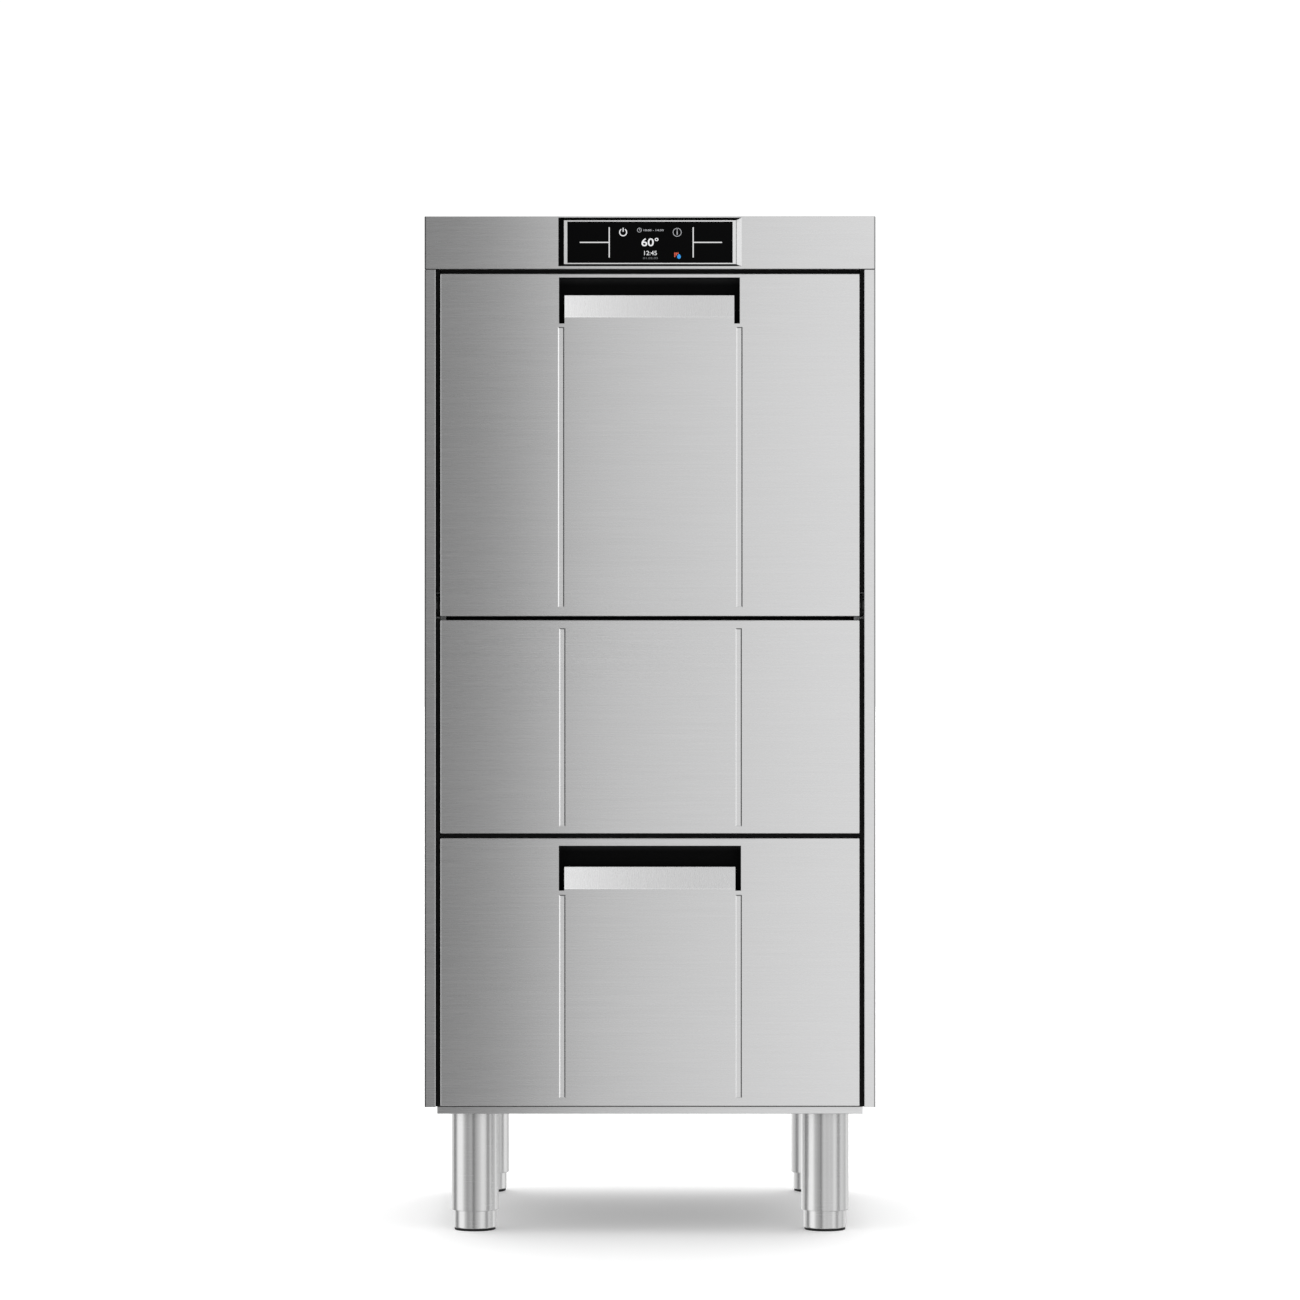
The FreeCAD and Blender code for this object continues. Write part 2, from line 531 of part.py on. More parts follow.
suction = tube_path([(-60, PUMP_Y, PUMP_Z), (-110, PUMP_Y, PUMP_Z), (-110, PUMP_Y, 770)], 22, 19, 40)
riser = cyl(18, 0, 0, 700, "z", 70).cut(cyl(15, 0, 0, 699, "z", 72))
branch = tube_path([(0, 10, 735), (0, 277, 735), (0, 277, 1300), (0, 25, 1300)], 14, 11.5, 36)
branch = branch.cut(cyl(16.5, 0, 0, 700, "z", 70))
riser = riser.cut(cyl(11.5, 0, 10, 735, "y", 20))
save("wash_pipes", suction, riser.fuse(branch))

# ------------------------------------------------------------ boiler, heaters, hoses
BX, BY = -172.0, 136.0
boil = cyl(85, BX, BY, 535.2, "z", 180)
boil = fillet_where(boil, 22, lambda e: e.BoundBox.ZMin > 715.1)
boin = cyl(83.2, BX, BY, 534, "z", 179)
boin = fillet_where(boin, 20, lambda e: e.BoundBox.ZMin > 712.9)
boil = boil.cut([boin, cyl(6, BX, BY, 705, "z", 20), cyl(6, BX + 35, BY - 38, 705, "z", 20)])
save("boiler", boil)

flange = cyl(88, BX, BY, 531.2, "z", 4)
loops = []
for dx in (-30, 0, 30):
    loops.append(tube_path([(BX + dx, BY - 21, 535.2), (BX + dx, BY - 21, 680), (BX + dx, BY + 21, 680),
                            (BX + dx, BY + 21, 535.2)], 4.2, 2.0, 20.9))
el = tube_path([(60, 200.3, 800), (60, -120, 800), (120, -120, 800), (120, 200.3, 800)], 4.2, 2.0, 28)
save("heating_elements", flange, loops, el)

rinse1 = tube_path([(BX, BY, 715.2), (BX, BY, 750), (BX, 272, 750), (BX, 272, 1300), (BX, 0, 1300),
                    (-25, 0, 1300)], 8, 6, 26)
rinse2 = tube_path([(BX + 35, BY - 38, 715.2), (BX + 35, BY - 38, 750), (BX + 35, 0, 750), (-18.2, 0, 750)], 8, 6, 26)
drain1 = tube_path([(150, 108, 770), (150, 108, 590), (125, 108, 590)], 12, 10, 20)
drain2 = cyl(15, 100, 200, 590, "y", 40).cut(cyl(12, 100, 199, 590, "y", 42))
save("hoses", rinse1, rinse2, drain1, drain2)

dp = fuse(box(75, 125, 94, 122, 562, 618), cyl(28, 100, 122, 590, "y", 78))
dp = dp.cut([cyl(10, 110, 108, 590, "x", 20), cyl(12, 100, 180, 590, "y", 22)])
dp = fuse(dp, box(85, 115, 98, 150, 531.2, 563))
save("drain_pump", dp)

# ------------------------------------------------------------ rear connections
valve = fuse(box(-120, -80, 212, 254, 600, 640), cyl(13.2, -100, 253, 620, "y", 30), cyl(18, -100, 255.2, 620, "y", 4.8))
valve = fuse(valve, cyl(14, -100, 226, 639, "z", 30))
valve = valve.cut(cyl(9.0, -100, 230, 620, "y", 60))
spig = fuse(cyl(15, 100, 240, 590, "y", 50), cyl(21, 100, 255.2, 590, "y", 4.8))
spig = spig.cut(cyl(12.0, 100, 239, 590, "y", 60))
save("water_connections", valve, spig)


def hexagon(xc, zc, af, y0, y1):
    r = af / math.sqrt(3.0)
    pts = [V(xc + r * math.cos(math.radians(60 * k)), y0, zc + r * math.sin(math.radians(60 * k))) for k in range(6)]
    return Part.Face(Part.makePolygon(pts + [pts[0]])).extrude(V(0, y1 - y0, 0))


gland = fuse(cyl(10, 0, 242, 660, "y", 30), hexagon(0, 660, 28, 255.2, 261.2), hexagon(0, 660, 28, 246, 254))
gland = fuse(gland, cyl(12.5, 0, 261.2, 660, "y", 16))
gland = gland.cut(cyl(6.5, 0, 240, 660, "y", 50))
save("cable_gland", gland)

units = []
for x0 in (-252, -168):
    body = box(x0, x0 + 62, -222, -150, 531.2, 604)
    body = fillet_where(body, 4, lambda e: abs(e.BoundBox.ZMax - e.BoundBox.ZMin) > 60)
    head = cyl(24, x0 + 31, -240, 572, "y", 18)
    ports = [cyl(3, x0 + 20, -232, 590, "z", 22), cyl(3, x0 + 42, -232, 590, "z", 22)]
    units.append(fuse(body, head, *ports))
save("dosing_pumps", units)

tb = box(184, 264, 60, 200, 640, 740)
tb = fillet_where(tb, 4, lambda e: abs(e.BoundBox.ZMax - e.BoundBox.ZMin) > 60)
tb = tb.cut(box(186.5, 261.5, 62.5, 197.5, 642.5, 741))
tlid = box(183, 265, 59, 201, 740, 743)
arm_b = box(264, 298.8, 100, 160, 688, 692)
save("terminal_box", fuse(tb, arm_b), tlid)

# ------------------------------------------------------------ door
ear_pin = fuse(cyl(5.0, 263, PIVOT_Y, PIVOT_Z, "x", 20.2), cyl(7.5, 283.2, PIVOT_Y, PIVOT_Z, "x", 1.2))
save("hinge_pins", both(ear_pin))

skin = pan(-DOOR_X, DOOR_X, DOOR_Z0, DOOR_Z1, Y_FRONT, Y_DOOR_IN, SHEET, FOLD_R)
skin = skin.cut(grip_cut(-121.1, 119.6, 1273.7, -113.7, 112.1, 1250.3, 1212.3))
skin = skin.cut(box(-113.7, 112.1, Y_FRONT - 1, Y_FRONT + SHEET + 0.5, 1220.3, 1251))
skin = fuse(skin, lip(-113.7, 112.1, 1220.3, 1250.3, 3.0, 7.0), bead(-118.3, 834.8, 1207.8), bead(118.9, 834.8, 1207.8))
skin = skin.cut([cyl(6.0, 276, PIVOT_Y, PIVOT_Z, "x", 6), cyl(6.0, -282, PIVOT_Y, PIVOT_Z, "x", 6)])
save("door_outer_panel", skin)

li = fuse(box(-278, 278, -263, Y_DOOR_IN, DOOR_Z0 + SHEET, DOOR_Z1 - SHEET),
          box(277, 278, -286, -262.5, DOOR_Z0 + SHEET, DOOR_Z1 - SHEET),
          box(-278, -277, -286, -262.5, DOOR_Z0 + SHEET, DOOR_Z1 - SHEET),
          box(-238.5, 238.5, -269, -262.5, 881.5, 1238.5))
li = fillet_where(li, 1.0, lambda e: on(e, x=278.0, y=Y_DOOR_IN) or on(e, x=-278.0, y=Y_DOOR_IN))
dish = box(-237.5, 237.5, -268, -255, 882.5, 1237.5)
dish = fillet_where(dish, 8, lambda e: abs(e.BoundBox.YMax - e.BoundBox.YMin) > 5)
li = li.cut([dish] + [cyl(6.0, s, PIVOT_Y, PIVOT_Z, "x", 6) for s in (275, -281)]
            + both(box(264.8, 271.2, -264, -261, 824, 866)))
save("door_inner_panel", li)
save("door_handle_cup", grip_cup(1209.0, 1276.5, -271.0))

arm = poly_prism_x([(-294, 829), (-294, 940), (-266, 940), (-266, 858), (-224, 816), (-222.5, 806), (-228, 800.5),
                    (-240, 801.5), (-259.5, 826), (-288, 826)], 266, 270)
arm = arm.cut([cyl(5.1, 265, PIVOT_Y, PIVOT_Z, "x", 6), cyl(3.0, 265, -230, 808.5, "x", 6)])
stay = box(269.5, 277, -285, -268, 905, 938)
save("door_hinge_arms", both(fuse(arm, stay)))

# counterbalance springs between the arms' tails and the deck
coil_r, wire_r, coil_z0, coil_z1, turns = 6.4, 1.3, 566.0, 786.0, 22
pitch = (coil_z1 - coil_z0) / turns
helix = Part.makeHelix(pitch, coil_z1 - coil_z0, coil_r)
circ = Part.Wire([Part.Circle(V(coil_r, 0, 0), V(0, 1, 0), wire_r).toShape()])
coil = Part.Wire(helix.Edges).makePipeShell([circ], True, True)
coil.translate(V(268, -229, coil_z0))
coil_top, coil_bot = coil_z1 + wire_r + 0.05, coil_z0 - wire_r - 0.05
plug_lo = fuse(cyl(7.2, 268, -229, coil_bot - 4, "z", 4), cyl(1.6, 268, -229, 556.0, "z", coil_bot - 557.5))
plug_hi = fuse(cyl(7.2, 268, -229, coil_top, "z", 4), cyl(1.6, 268, -229, coil_top + 2, "z", 9))
save("door_springs", both(coil), both(plug_lo), both(plug_hi))

# ------------------------------------------------------------ drawer
front = pan(-DOOR_X, DOOR_X, DRAWER_Z0, DRAWER_Z1, Y_FRONT, Y_DOOR_IN, SHEET, FOLD_R)
front = front.cut(grip_cut(-121.3, 121.1, 517.6, -114.0, 113.6, 489.6, 457.8))
front = front.cut(box(-114.0, 113.6, Y_FRONT - 1, Y_FRONT + SHEET + 0.5, 459.6, 490))
front = fuse(front, lip(-114.0, 113.6, 459.6, 489.6, 3.0, 7.0), bead(-116.7, 182.0, 452.3), bead(118.0, 182.0, 452.3))
save("drawer_front_panel", front)
liner = fuse(box(-278, 278, -263, Y_DOOR_IN, DRAWER_Z0 + SHEET, DRAWER_Z1 - SHEET),
             box(277, 278, -286, -262.5, DRAWER_Z0 + SHEET, DRAWER_Z1 - SHEET),
             box(-278, -277, -286, -262.5, DRAWER_Z0 + SHEET, DRAWER_Z1 - SHEET))
save("drawer_front_liner", liner)
save("drawer_handle_cup", grip_cup(454.0, 520.5, -271.0))

dside = fuse(box(256.8, 258, Y_DOOR_IN, 225, 196, 420), box(253, 258, Y_DOOR_IN, 225, 418.8, 420))
save("drawer_box", box(-256.8, 256.8, Y_DOOR_IN, 225, 196, 197.2), both(dside),
     box(-256.8, 256.8, 223.8, 225, 197.2, 418.8))

zc = RUN_Z
outer_r = fuse(box(268.5, 270, RUN_Y0 - 2, RUN_Y1 + 2, zc - 22.5, zc + 22.5),
               box(260.5, 270, RUN_Y0 - 2, RUN_Y1 + 2, zc - 22.5, zc - 21),
               box(260.5, 270, RUN_Y0 - 2, RUN_Y1 + 2, zc + 21, zc + 22.5))
brk = []
for y0 in (-232, 168):
    brk += [box(270, 272, y0, y0 + 30, zc - 25, zc + 25), box(272, 298.8, y0, y0 + 30, zc - 1, zc + 1),
            box(296.8, 298.8, y0, y0 + 30, zc - 25, zc + 25)]
save("drawer_runner_outer", both(fuse(outer_r, *brk)))
mid_r = fuse(box(265.6, 267.1, RUN_Y0, RUN_Y1, zc - 20.3, zc + 20.3),
             box(260.9, 267.1, RUN_Y0, RUN_Y1, zc - 20.3, zc - 18.8),
             box(260.9, 267.1, RUN_Y0, RUN_Y1, zc + 18.8, zc + 20.3))
save("drawer_runner_middle", both(mid_r))
in_r = fuse(box(258, 259.5, RUN_Y0 - 4, RUN_Y1 - 4, zc - 18, zc + 18),
            box(258, 264.9, RUN_Y0 - 4, RUN_Y1 - 4, zc - 18, zc - 16.5),
            box(258, 264.9, RUN_Y0 - 4, RUN_Y1 - 4, zc + 16.5, zc + 18))
save("drawer_runner_inner", both(in_r))

# ------------------------------------------------------------ fasteners
fast = []
for x, y in leg_xy:
    head = Part.Face(Part.makePolygon([V(x + 10.97 * math.cos(math.radians(60 * k)),
                                         y + 10.97 * math.sin(math.radians(60 * k)), 162) for k in range(7)])
                     ).extrude(V(0, 0, 7.5))
    fast.append(fuse(head, cyl(6.0, x, y, 149.5, "z", 13)))
for z in screw_z:
    for s in (-1, 1):
        h = cyl(5.0, s * 287, Y_REAR, z, "y", Y_SCREW - Y_REAR)
        h = fillet_where(h, 0.8, lambda e: e.BoundBox.YMin > Y_SCREW - 1e-5)
        h = fuse(h, cyl(2.0, s * 287, 291, z, "y", Y_REAR - 291 + 0.1))
        h = h.cut([box(s * 287 - 3, s * 287 + 3, Y_SCREW - 0.8, Y_SCREW + 1, z - 0.4, z + 0.4),
                   box(s * 287 - 0.4, s * 287 + 0.4, Y_SCREW - 0.8, Y_SCREW + 1, z - 3, z + 3)])
        fast.append(h)
for z in (905.3, 1222.3):
    n = Part.Face(Part.makePolygon([V(14 * math.cos(math.radians(60 * k)), 14 * math.sin(math.radians(60 * k)), z)
                                    for k in range(7)])).extrude(V(0, 0, 4.4))
    fast.append(n.cut(cyl(8.05, 0, 0, z - 1, "z", 8)))
save("fasteners", fast)

print("nodes", total["n"], "solids", total["solids"])
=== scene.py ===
import math

import bmesh
import bpy
from mathutils import Matrix, Vector


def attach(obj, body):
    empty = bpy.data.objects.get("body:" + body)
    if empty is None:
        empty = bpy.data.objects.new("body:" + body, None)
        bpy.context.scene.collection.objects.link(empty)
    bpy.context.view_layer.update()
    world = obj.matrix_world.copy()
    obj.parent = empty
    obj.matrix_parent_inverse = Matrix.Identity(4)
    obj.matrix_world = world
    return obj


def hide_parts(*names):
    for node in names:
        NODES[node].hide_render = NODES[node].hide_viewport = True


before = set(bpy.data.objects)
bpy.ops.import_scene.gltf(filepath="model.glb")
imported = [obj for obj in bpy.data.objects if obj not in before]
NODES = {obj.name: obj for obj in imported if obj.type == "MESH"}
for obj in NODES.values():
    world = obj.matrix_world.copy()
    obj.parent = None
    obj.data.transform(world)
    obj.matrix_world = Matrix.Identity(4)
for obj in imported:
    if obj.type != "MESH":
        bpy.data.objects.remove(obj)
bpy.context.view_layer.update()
scene = bpy.context.scene
scene.view_settings.view_transform = "Standard"
scene.view_settings.look = "None"
scene.view_settings.exposure = 0.0
scene.view_settings.gamma = 1.0

# ------------------------------------------------------------------ sizes
PX = 1.33037e-3            # metres per pixel on the front plane
CAM_Z = 0.778
CAM_Y = -6.785
GLASS_Y = -0.2951          # front face of the display glass
LIP_DOOR = (0.1138, 1.2203, 1.2503)
LIP_DRAWER = (0.1140, 0.4596, 0.4896)
# painted reflection: the lips' ground is lighter at their left end than at their right
LIP_REFLECTION_LEFT, LIP_REFLECTION_RIGHT = 0.86, 0.55      # ground tone of the lips at their two ends
STEEL = 0.525              # ground tone of the brushed sheet
KEY = 1.27                 # strength of everything that the metal reflects


def px_x(px):
    return (px - 650.0) * PX


def px_z(py):
    return CAM_Z - (py - 650.0) * PX


# ------------------------------------------------------------------ camera
cam_data = bpy.data.cameras.new("camera")
cam_data.lens = 135.0
cam_data.sensor_width = 36.0
cam = bpy.data.objects.new("camera", cam_data)
scene.collection.objects.link(cam)
cam.location = (0.0, CAM_Y, CAM_Z)
cam.rotation_euler = (math.radians(90), 0, 0)
scene.camera = cam


# ------------------------------------------------------------------ node helper
class Tree:
    """Small helper to write node trees as expressions."""

    def __init__(self, tree):
        self.t = tree
        tree.nodes.clear()

    def new(self, kind, **values):
        node = self.t.nodes.new(kind)
        for k, v in values.items():
            setattr(node, k, v)
        return node

    def put(self, socket, value):
        if isinstance(value, bpy.types.NodeSocket):
            self.t.links.new(value, socket)
        elif value is not None:
            socket.default_value = value

    def math(self, op, a, b=None, c=None, clamp=False):
        n = self.new("ShaderNodeMath", operation=op, use_clamp=clamp)
        self.put(n.inputs[0], a)
        if b is not None:
            self.put(n.inputs[1], b)
        if c is not None:
            self.put(n.inputs[2], c)
        return n.outputs[0]

    def vec(self, op, a, b=None, scale=None):
        n = self.new("ShaderNodeVectorMath", operation=op)
        self.put(n.inputs[0], a)
        if b is not None:
            self.put(n.inputs[1], b)
        if scale is not None:
            self.put(n.inputs["Scale"], scale)
        return n.outputs["Value"] if op in ("LENGTH", "DOT_PRODUCT", "DISTANCE") else n.outputs[0]

    def split(self, v):
        n = self.new("ShaderNodeSeparateXYZ")
        self.put(n.inputs[0], v)
        return n.outputs[0], n.outputs[1], n.outputs[2]

    def join(self, x, y, z):
        n = self.new("ShaderNodeCombineXYZ")
        for s, v in zip(n.inputs, (x, y, z)):
            self.put(s, v)
        return n.outputs[0]

    def noise(self, v, scale=1.0, detail=2.0, rough=0.5, distortion=0.0):
        n = self.new("ShaderNodeTexNoise")
        self.put(n.inputs["Vector"], v)
        n.inputs["Scale"].default_value = scale
        n.inputs["Detail"].default_value = detail
        n.inputs["Roughness"].default_value = rough
        n.inputs["Distortion"].default_value = distortion
        return n.outputs["Fac"]

    def voronoi(self, v, scale=1.0, feature="F1", out="Distance"):
        n = self.new("ShaderNodeTexVoronoi", feature=feature)
        self.put(n.inputs["Vector"], v)
        n.inputs["Scale"].default_value = scale
        return n.outputs[out]

    def wave(self, v, scale, distortion=0.0, direction="X", profile="SIN"):
        n = self.new("ShaderNodeTexWave", bands_direction=direction, wave_profile=profile)
        self.put(n.inputs["Vector"], v)
        n.inputs["Scale"].default_value = scale
        n.inputs["Distortion"].default_value = distortion
        return n.outputs["Fac"]

    def fit(self, x, a, b, c, d, smooth=False):
        n = self.new("ShaderNodeMapRange")
        if smooth:
            n.interpolation_type = "SMOOTHSTEP"
        self.put(n.inputs["Value"], x)
        for name, value in (("From Min", a), ("From Max", b), ("To Min", c), ("To Max", d)):
            n.inputs[name].default_value = value
        return n.outputs["Result"]

    def mix(self, f, a, b):
        n = self.new("ShaderNodeMix", data_type="RGBA")
        self.put(n.inputs[0], f)
        self.put(n.inputs[6], a)
        self.put(n.inputs[7], b)
        return n.outputs[2]

    def mixf(self, f, a, b):
        n = self.new("ShaderNodeMix", data_type="FLOAT")
        self.put(n.inputs[0], f)
        self.put(n.inputs[2], a)
        self.put(n.inputs[3], b)
        return n.outputs[0]

    def ramp(self, f, stops, mode="EASE"):
        n = self.new("ShaderNodeValToRGB")
        r = n.color_ramp
        r.interpolation = mode
        while len(r.elements) < len(stops):
            r.elements.new(0.5)
        for e, (p, c) in zip(r.elements, stops):
            e.position = p
            e.color = (c, c, c, 1) if isinstance(c, (int, float)) else (*c, 1)
        self.put(n.inputs[0], f)
        return n.outputs[0]

    def bump(self, height, strength, distance, normal=None):
        n = self.new("ShaderNodeBump")
        n.inputs["Strength"].default_value = strength
        n.inputs["Distance"].default_value = distance
        self.put(n.inputs["Height"], height)
        if normal is not None:
            self.put(n.inputs["Normal"], normal)
        return n.outputs[0]


def surface(name, base=None, rough=0.4, metallic=0.0, **sockets):
    """A material with one Principled shader; constants go on its sockets."""
    m = bpy.data.materials.new(name)
    m.use_nodes = True
    t = Tree(m.node_tree)
    out = t.new("ShaderNodeOutputMaterial")
    p = t.new("ShaderNodeBsdfPrincipled")
    t.t.links.new(p.outputs[0], out.inputs[0])
    p.inputs["Metallic"].default_value = metallic
    p.inputs["Roughness"].default_value = rough
    if base is not None:
        p.inputs["Base Color"].default_value = (*base, 1)
    for k, v in sockets.items():
        p.inputs[k.replace("_", " ")].default_value = v
    return m, t, p


def grey(v, warm=0.0):
    return (v * (1 + warm), v, v * (1 - warm), 1)


# ------------------------------------------------------------------ steel
def brushed(name, tone, rough, aniso, grain=0.03, relief=0.06, lips=False, run=9.0, pitch=760.0,
            cloud=0.012, recess_shade=False, underside_shade=False, bead_light_and_shade=False, fold_shade=False):
    """Sheet steel with straight brushing: level on upright faces, along X on level ones.
    On the pull lips the brushing runs upright, and a painted reflection makes their ground brighter, most of all to the
    left, with a painted highlight along the crease."""
    m, t, p = surface(name, metallic=1.0, rough=rough)
    p.inputs["Anisotropic"].default_value = aniso
    tc = t.new("ShaderNodeTexCoord")
    x, y, z = t.split(tc.outputs["Object"])
    nx, ny, nz = t.split(tc.outputs["Normal"])
    flat = t.math("GREATER_THAN", t.math("ABSOLUTE", nz), 0.75)
    upright = 0.0
    if lips:
        half, z0, z1 = lips
        inside = t.math("LESS_THAN", t.math("ABSOLUTE", x), half)
        inside = t.math("MULTIPLY", inside, t.math("GREATER_THAN", z, z0 + 0.0002))
        inside = t.math("MULTIPLY", inside, t.math("LESS_THAN", z, z1 + 0.0005))
        inside = t.math("MULTIPLY", inside, t.math("LESS_THAN", y, -0.285))
        upright = inside
    swap = t.math("MAXIMUM", flat, upright) if lips else flat

    def coords(along, across):
        d = across - along
        fx = t.math("MULTIPLY_ADD", upright, d, along) if lips else along
        fy = t.math("MULTIPLY_ADD", flat, d, along)
        fz = t.math("MULTIPLY_ADD", swap, -d, across)
        return t.join(t.math("MULTIPLY", x, fx), t.math("MULTIPLY", y, fy), t.math("MULTIPLY", z, fz))

    streak = t.noise(coords(run, pitch), 1.0, 3.0, 0.6)
    fine = t.noise(coords(run * 3.1, pitch * 3.7), 1.0, 2.0, 0.55)
    patch = t.noise(tc.outputs["Object"], 3.0, 2.0, 0.5)
    mixed = t.math("ADD", t.math("MULTIPLY", streak, 0.62), t.math("MULTIPLY", fine, 0.38))
    lightness = t.fit(mixed, 0.32, 0.68, -grain, grain)
    # the brushing shows more to the left of the front, where the reflection is darker
    plain = t.math("MULTIPLY", t.math("LESS_THAN", ny, -0.5), t.fit(x, -0.28, 0.28, 0.85, -0.2, True))
    lightness = t.math("MULTIPLY", lightness, t.math("ADD", plain, 1.0))
    lightness = t.math("ADD", lightness, t.fit(patch, 0.3, 0.7, -cloud, cloud))
    ground = tone
    if lips:
        # painted reflection on the pull lips: the ground is lighter towards their left end
        lip_reflection_ramp = t.math("MULTIPLY", t.fit(x, -half, half * 0.9, 1.0, 0.0), t.fit(x, -half, half * 0.9, 1.0, 0.0))
        lip_painted_light = t.math("MULTIPLY_ADD", lip_reflection_ramp, LIP_REFLECTION_LEFT - LIP_REFLECTION_RIGHT, LIP_REFLECTION_RIGHT)
        # painted highlight: a thin lighter line along the crease at the foot of each lip
        crease_painted_highlight = t.math("LESS_THAN", t.math("ABSOLUTE", t.math("SUBTRACT", z, z0 + 0.0008)), 0.0009)
        lip_painted_light = t.math("MULTIPLY", lip_painted_light, t.math("MULTIPLY_ADD", crease_painted_highlight, 0.07, 1.0))
        ground = t.mixf(upright, tone, lip_painted_light)
        lightness = t.math("MULTIPLY", lightness, t.math("MULTIPLY_ADD", upright, -0.72, 1.0))
    if bead_light_and_shade:
        # painted highlight: the crests of the raised beads are made paler, most of all to the left
        raised = t.math("MULTIPLY", t.math("LESS_THAN", y, -0.2991), t.math("LESS_THAN", t.math("ABSOLUTE", x), 0.14))
        crest_painted_highlight = t.math("MULTIPLY", raised, t.fit(x, -0.10, 0.10, 0.23, 0.02))
        ground = t.math("MULTIPLY", ground, t.math("ADD", crest_painted_highlight, 1.0))
        # and painted shade darkens their right and upper flanks
        flank_painted_shade = t.math("MULTIPLY", t.math("LESS_THAN", y, -0.29893), t.math("LESS_THAN", t.math("ABSOLUTE", x), 0.14))
        flank_painted_shade = t.math("MULTIPLY", flank_painted_shade, t.math("GREATER_THAN", t.math("MAXIMUM", nx, nz), 0.2))
        ground = t.math("MULTIPLY", ground, t.math("MULTIPLY_ADD", flank_painted_shade, -0.72, 1.0))
    if fold_shade:
        # painted shade: the outer front folds are a little darker, most of all the left one
        corner = t.math("MULTIPLY", t.math("LESS_THAN", y, -0.2973), t.math("GREATER_THAN", t.math("ABSOLUTE", x), 0.2981))
        fold_shade_weight = t.fit(x, -0.2, 0.2, -0.78, -0.52)
        ground = t.math("MULTIPLY", ground, t.math("MULTIPLY_ADD", corner, fold_shade_weight, 1.0))
    value = t.math("MULTIPLY_ADD", lightness, ground, ground)
    if recess_shade:
        # painted shade: the recess around the display is made near black but for its right flank
        rx, rz0, rz1, ry, rback = recess_shade
        dark = t.math("LESS_THAN", t.math("ABSOLUTE", x), rx)
        dark = t.math("MULTIPLY", dark, t.math("GREATER_THAN", z, rz0))
        dark = t.math("MULTIPLY", dark, t.math("LESS_THAN", z, rz1))
        dark = t.math("MULTIPLY", dark, t.math("GREATER_THAN", y, ry))
        dark = t.math("MULTIPLY", dark, t.math("LESS_THAN", y, rback))
        dark = t.math("MULTIPLY", dark, t.math("GREATER_THAN", nx, -0.2))
        value = t.math("MULTIPLY", value, t.math("MULTIPLY_ADD", dark, -0.99, 1.0))
    if underside_shade:
        # painted shade: downward faces below this height are made near black
        low = t.math("MULTIPLY", t.math("LESS_THAN", nz, -0.9), t.math("LESS_THAN", z, underside_shade))
        value = t.math("MULTIPLY", value, t.math("MULTIPLY_ADD", low, -0.94, 1.0))
    p_color = t.join(value, value, t.math("MULTIPLY", value, 1.004))
    t.put(p.inputs["Base Color"], p_color)
    t.put(p.inputs["Roughness"], t.math("ADD", t.fit(fine, 0.3, 0.7, rough - 0.03, rough + 0.03),
                                        t.fit(patch, 0.3, 0.7, -0.01, 0.01)))
    t.put(p.inputs["Normal"], t.bump(mixed, relief, 0.0004))
    # highlights stretch across the brushing
    if lips:
        tangent = t.mix(upright, t.mix(flat, (0, 0, 1, 1), (0, 1, 0, 1)), (1, 0, 0, 1))
    else:
        tangent = t.mix(flat, (0, 0, 1, 1), (0, 1, 0, 1))
    vt = t.new("ShaderNodeVectorTransform", vector_type="VECTOR", convert_from="OBJECT", convert_to="WORLD")
    t.put(vt.inputs[0], tangent)
    t.put(p.inputs["Tangent"], vt.outputs[0])
    return m


def satin(name, tone, rough, grain=0.03, scale=240.0, relief=0.05, tint=(1, 1, 1)):
    """Plain rolled or turned metal with a fine uneven satin finish."""
    m, t, p = surface(name, metallic=1.0, rough=rough)
    tc = t.new("ShaderNodeTexCoord")
    fine = t.noise(tc.outputs["Object"], scale * 5, 2.0, 0.6)
    cloud = t.noise(tc.outputs["Object"], scale * 0.06, 3.0, 0.55)
    v = t.math("MULTIPLY_ADD", t.math("ADD", t.fit(fine, 0.3, 0.7, -grain, grain),
                                      t.fit(cloud, 0.3, 0.7, -grain, grain)), tone, tone)
    t.put(p.inputs["Base Color"], t.join(t.math("MULTIPLY", v, tint[0]), t.math("MULTIPLY", v, tint[1]),
                                         t.math("MULTIPLY", v, tint[2])))
    t.put(p.inputs["Roughness"], t.math("ADD", t.fit(cloud, 0.3, 0.7, rough - 0.04, rough + 0.04),
                                        t.fit(fine, 0.3, 0.7, -0.02, 0.02)))
    t.put(p.inputs["Normal"], t.bump(fine, relief, 0.0002))
    return m


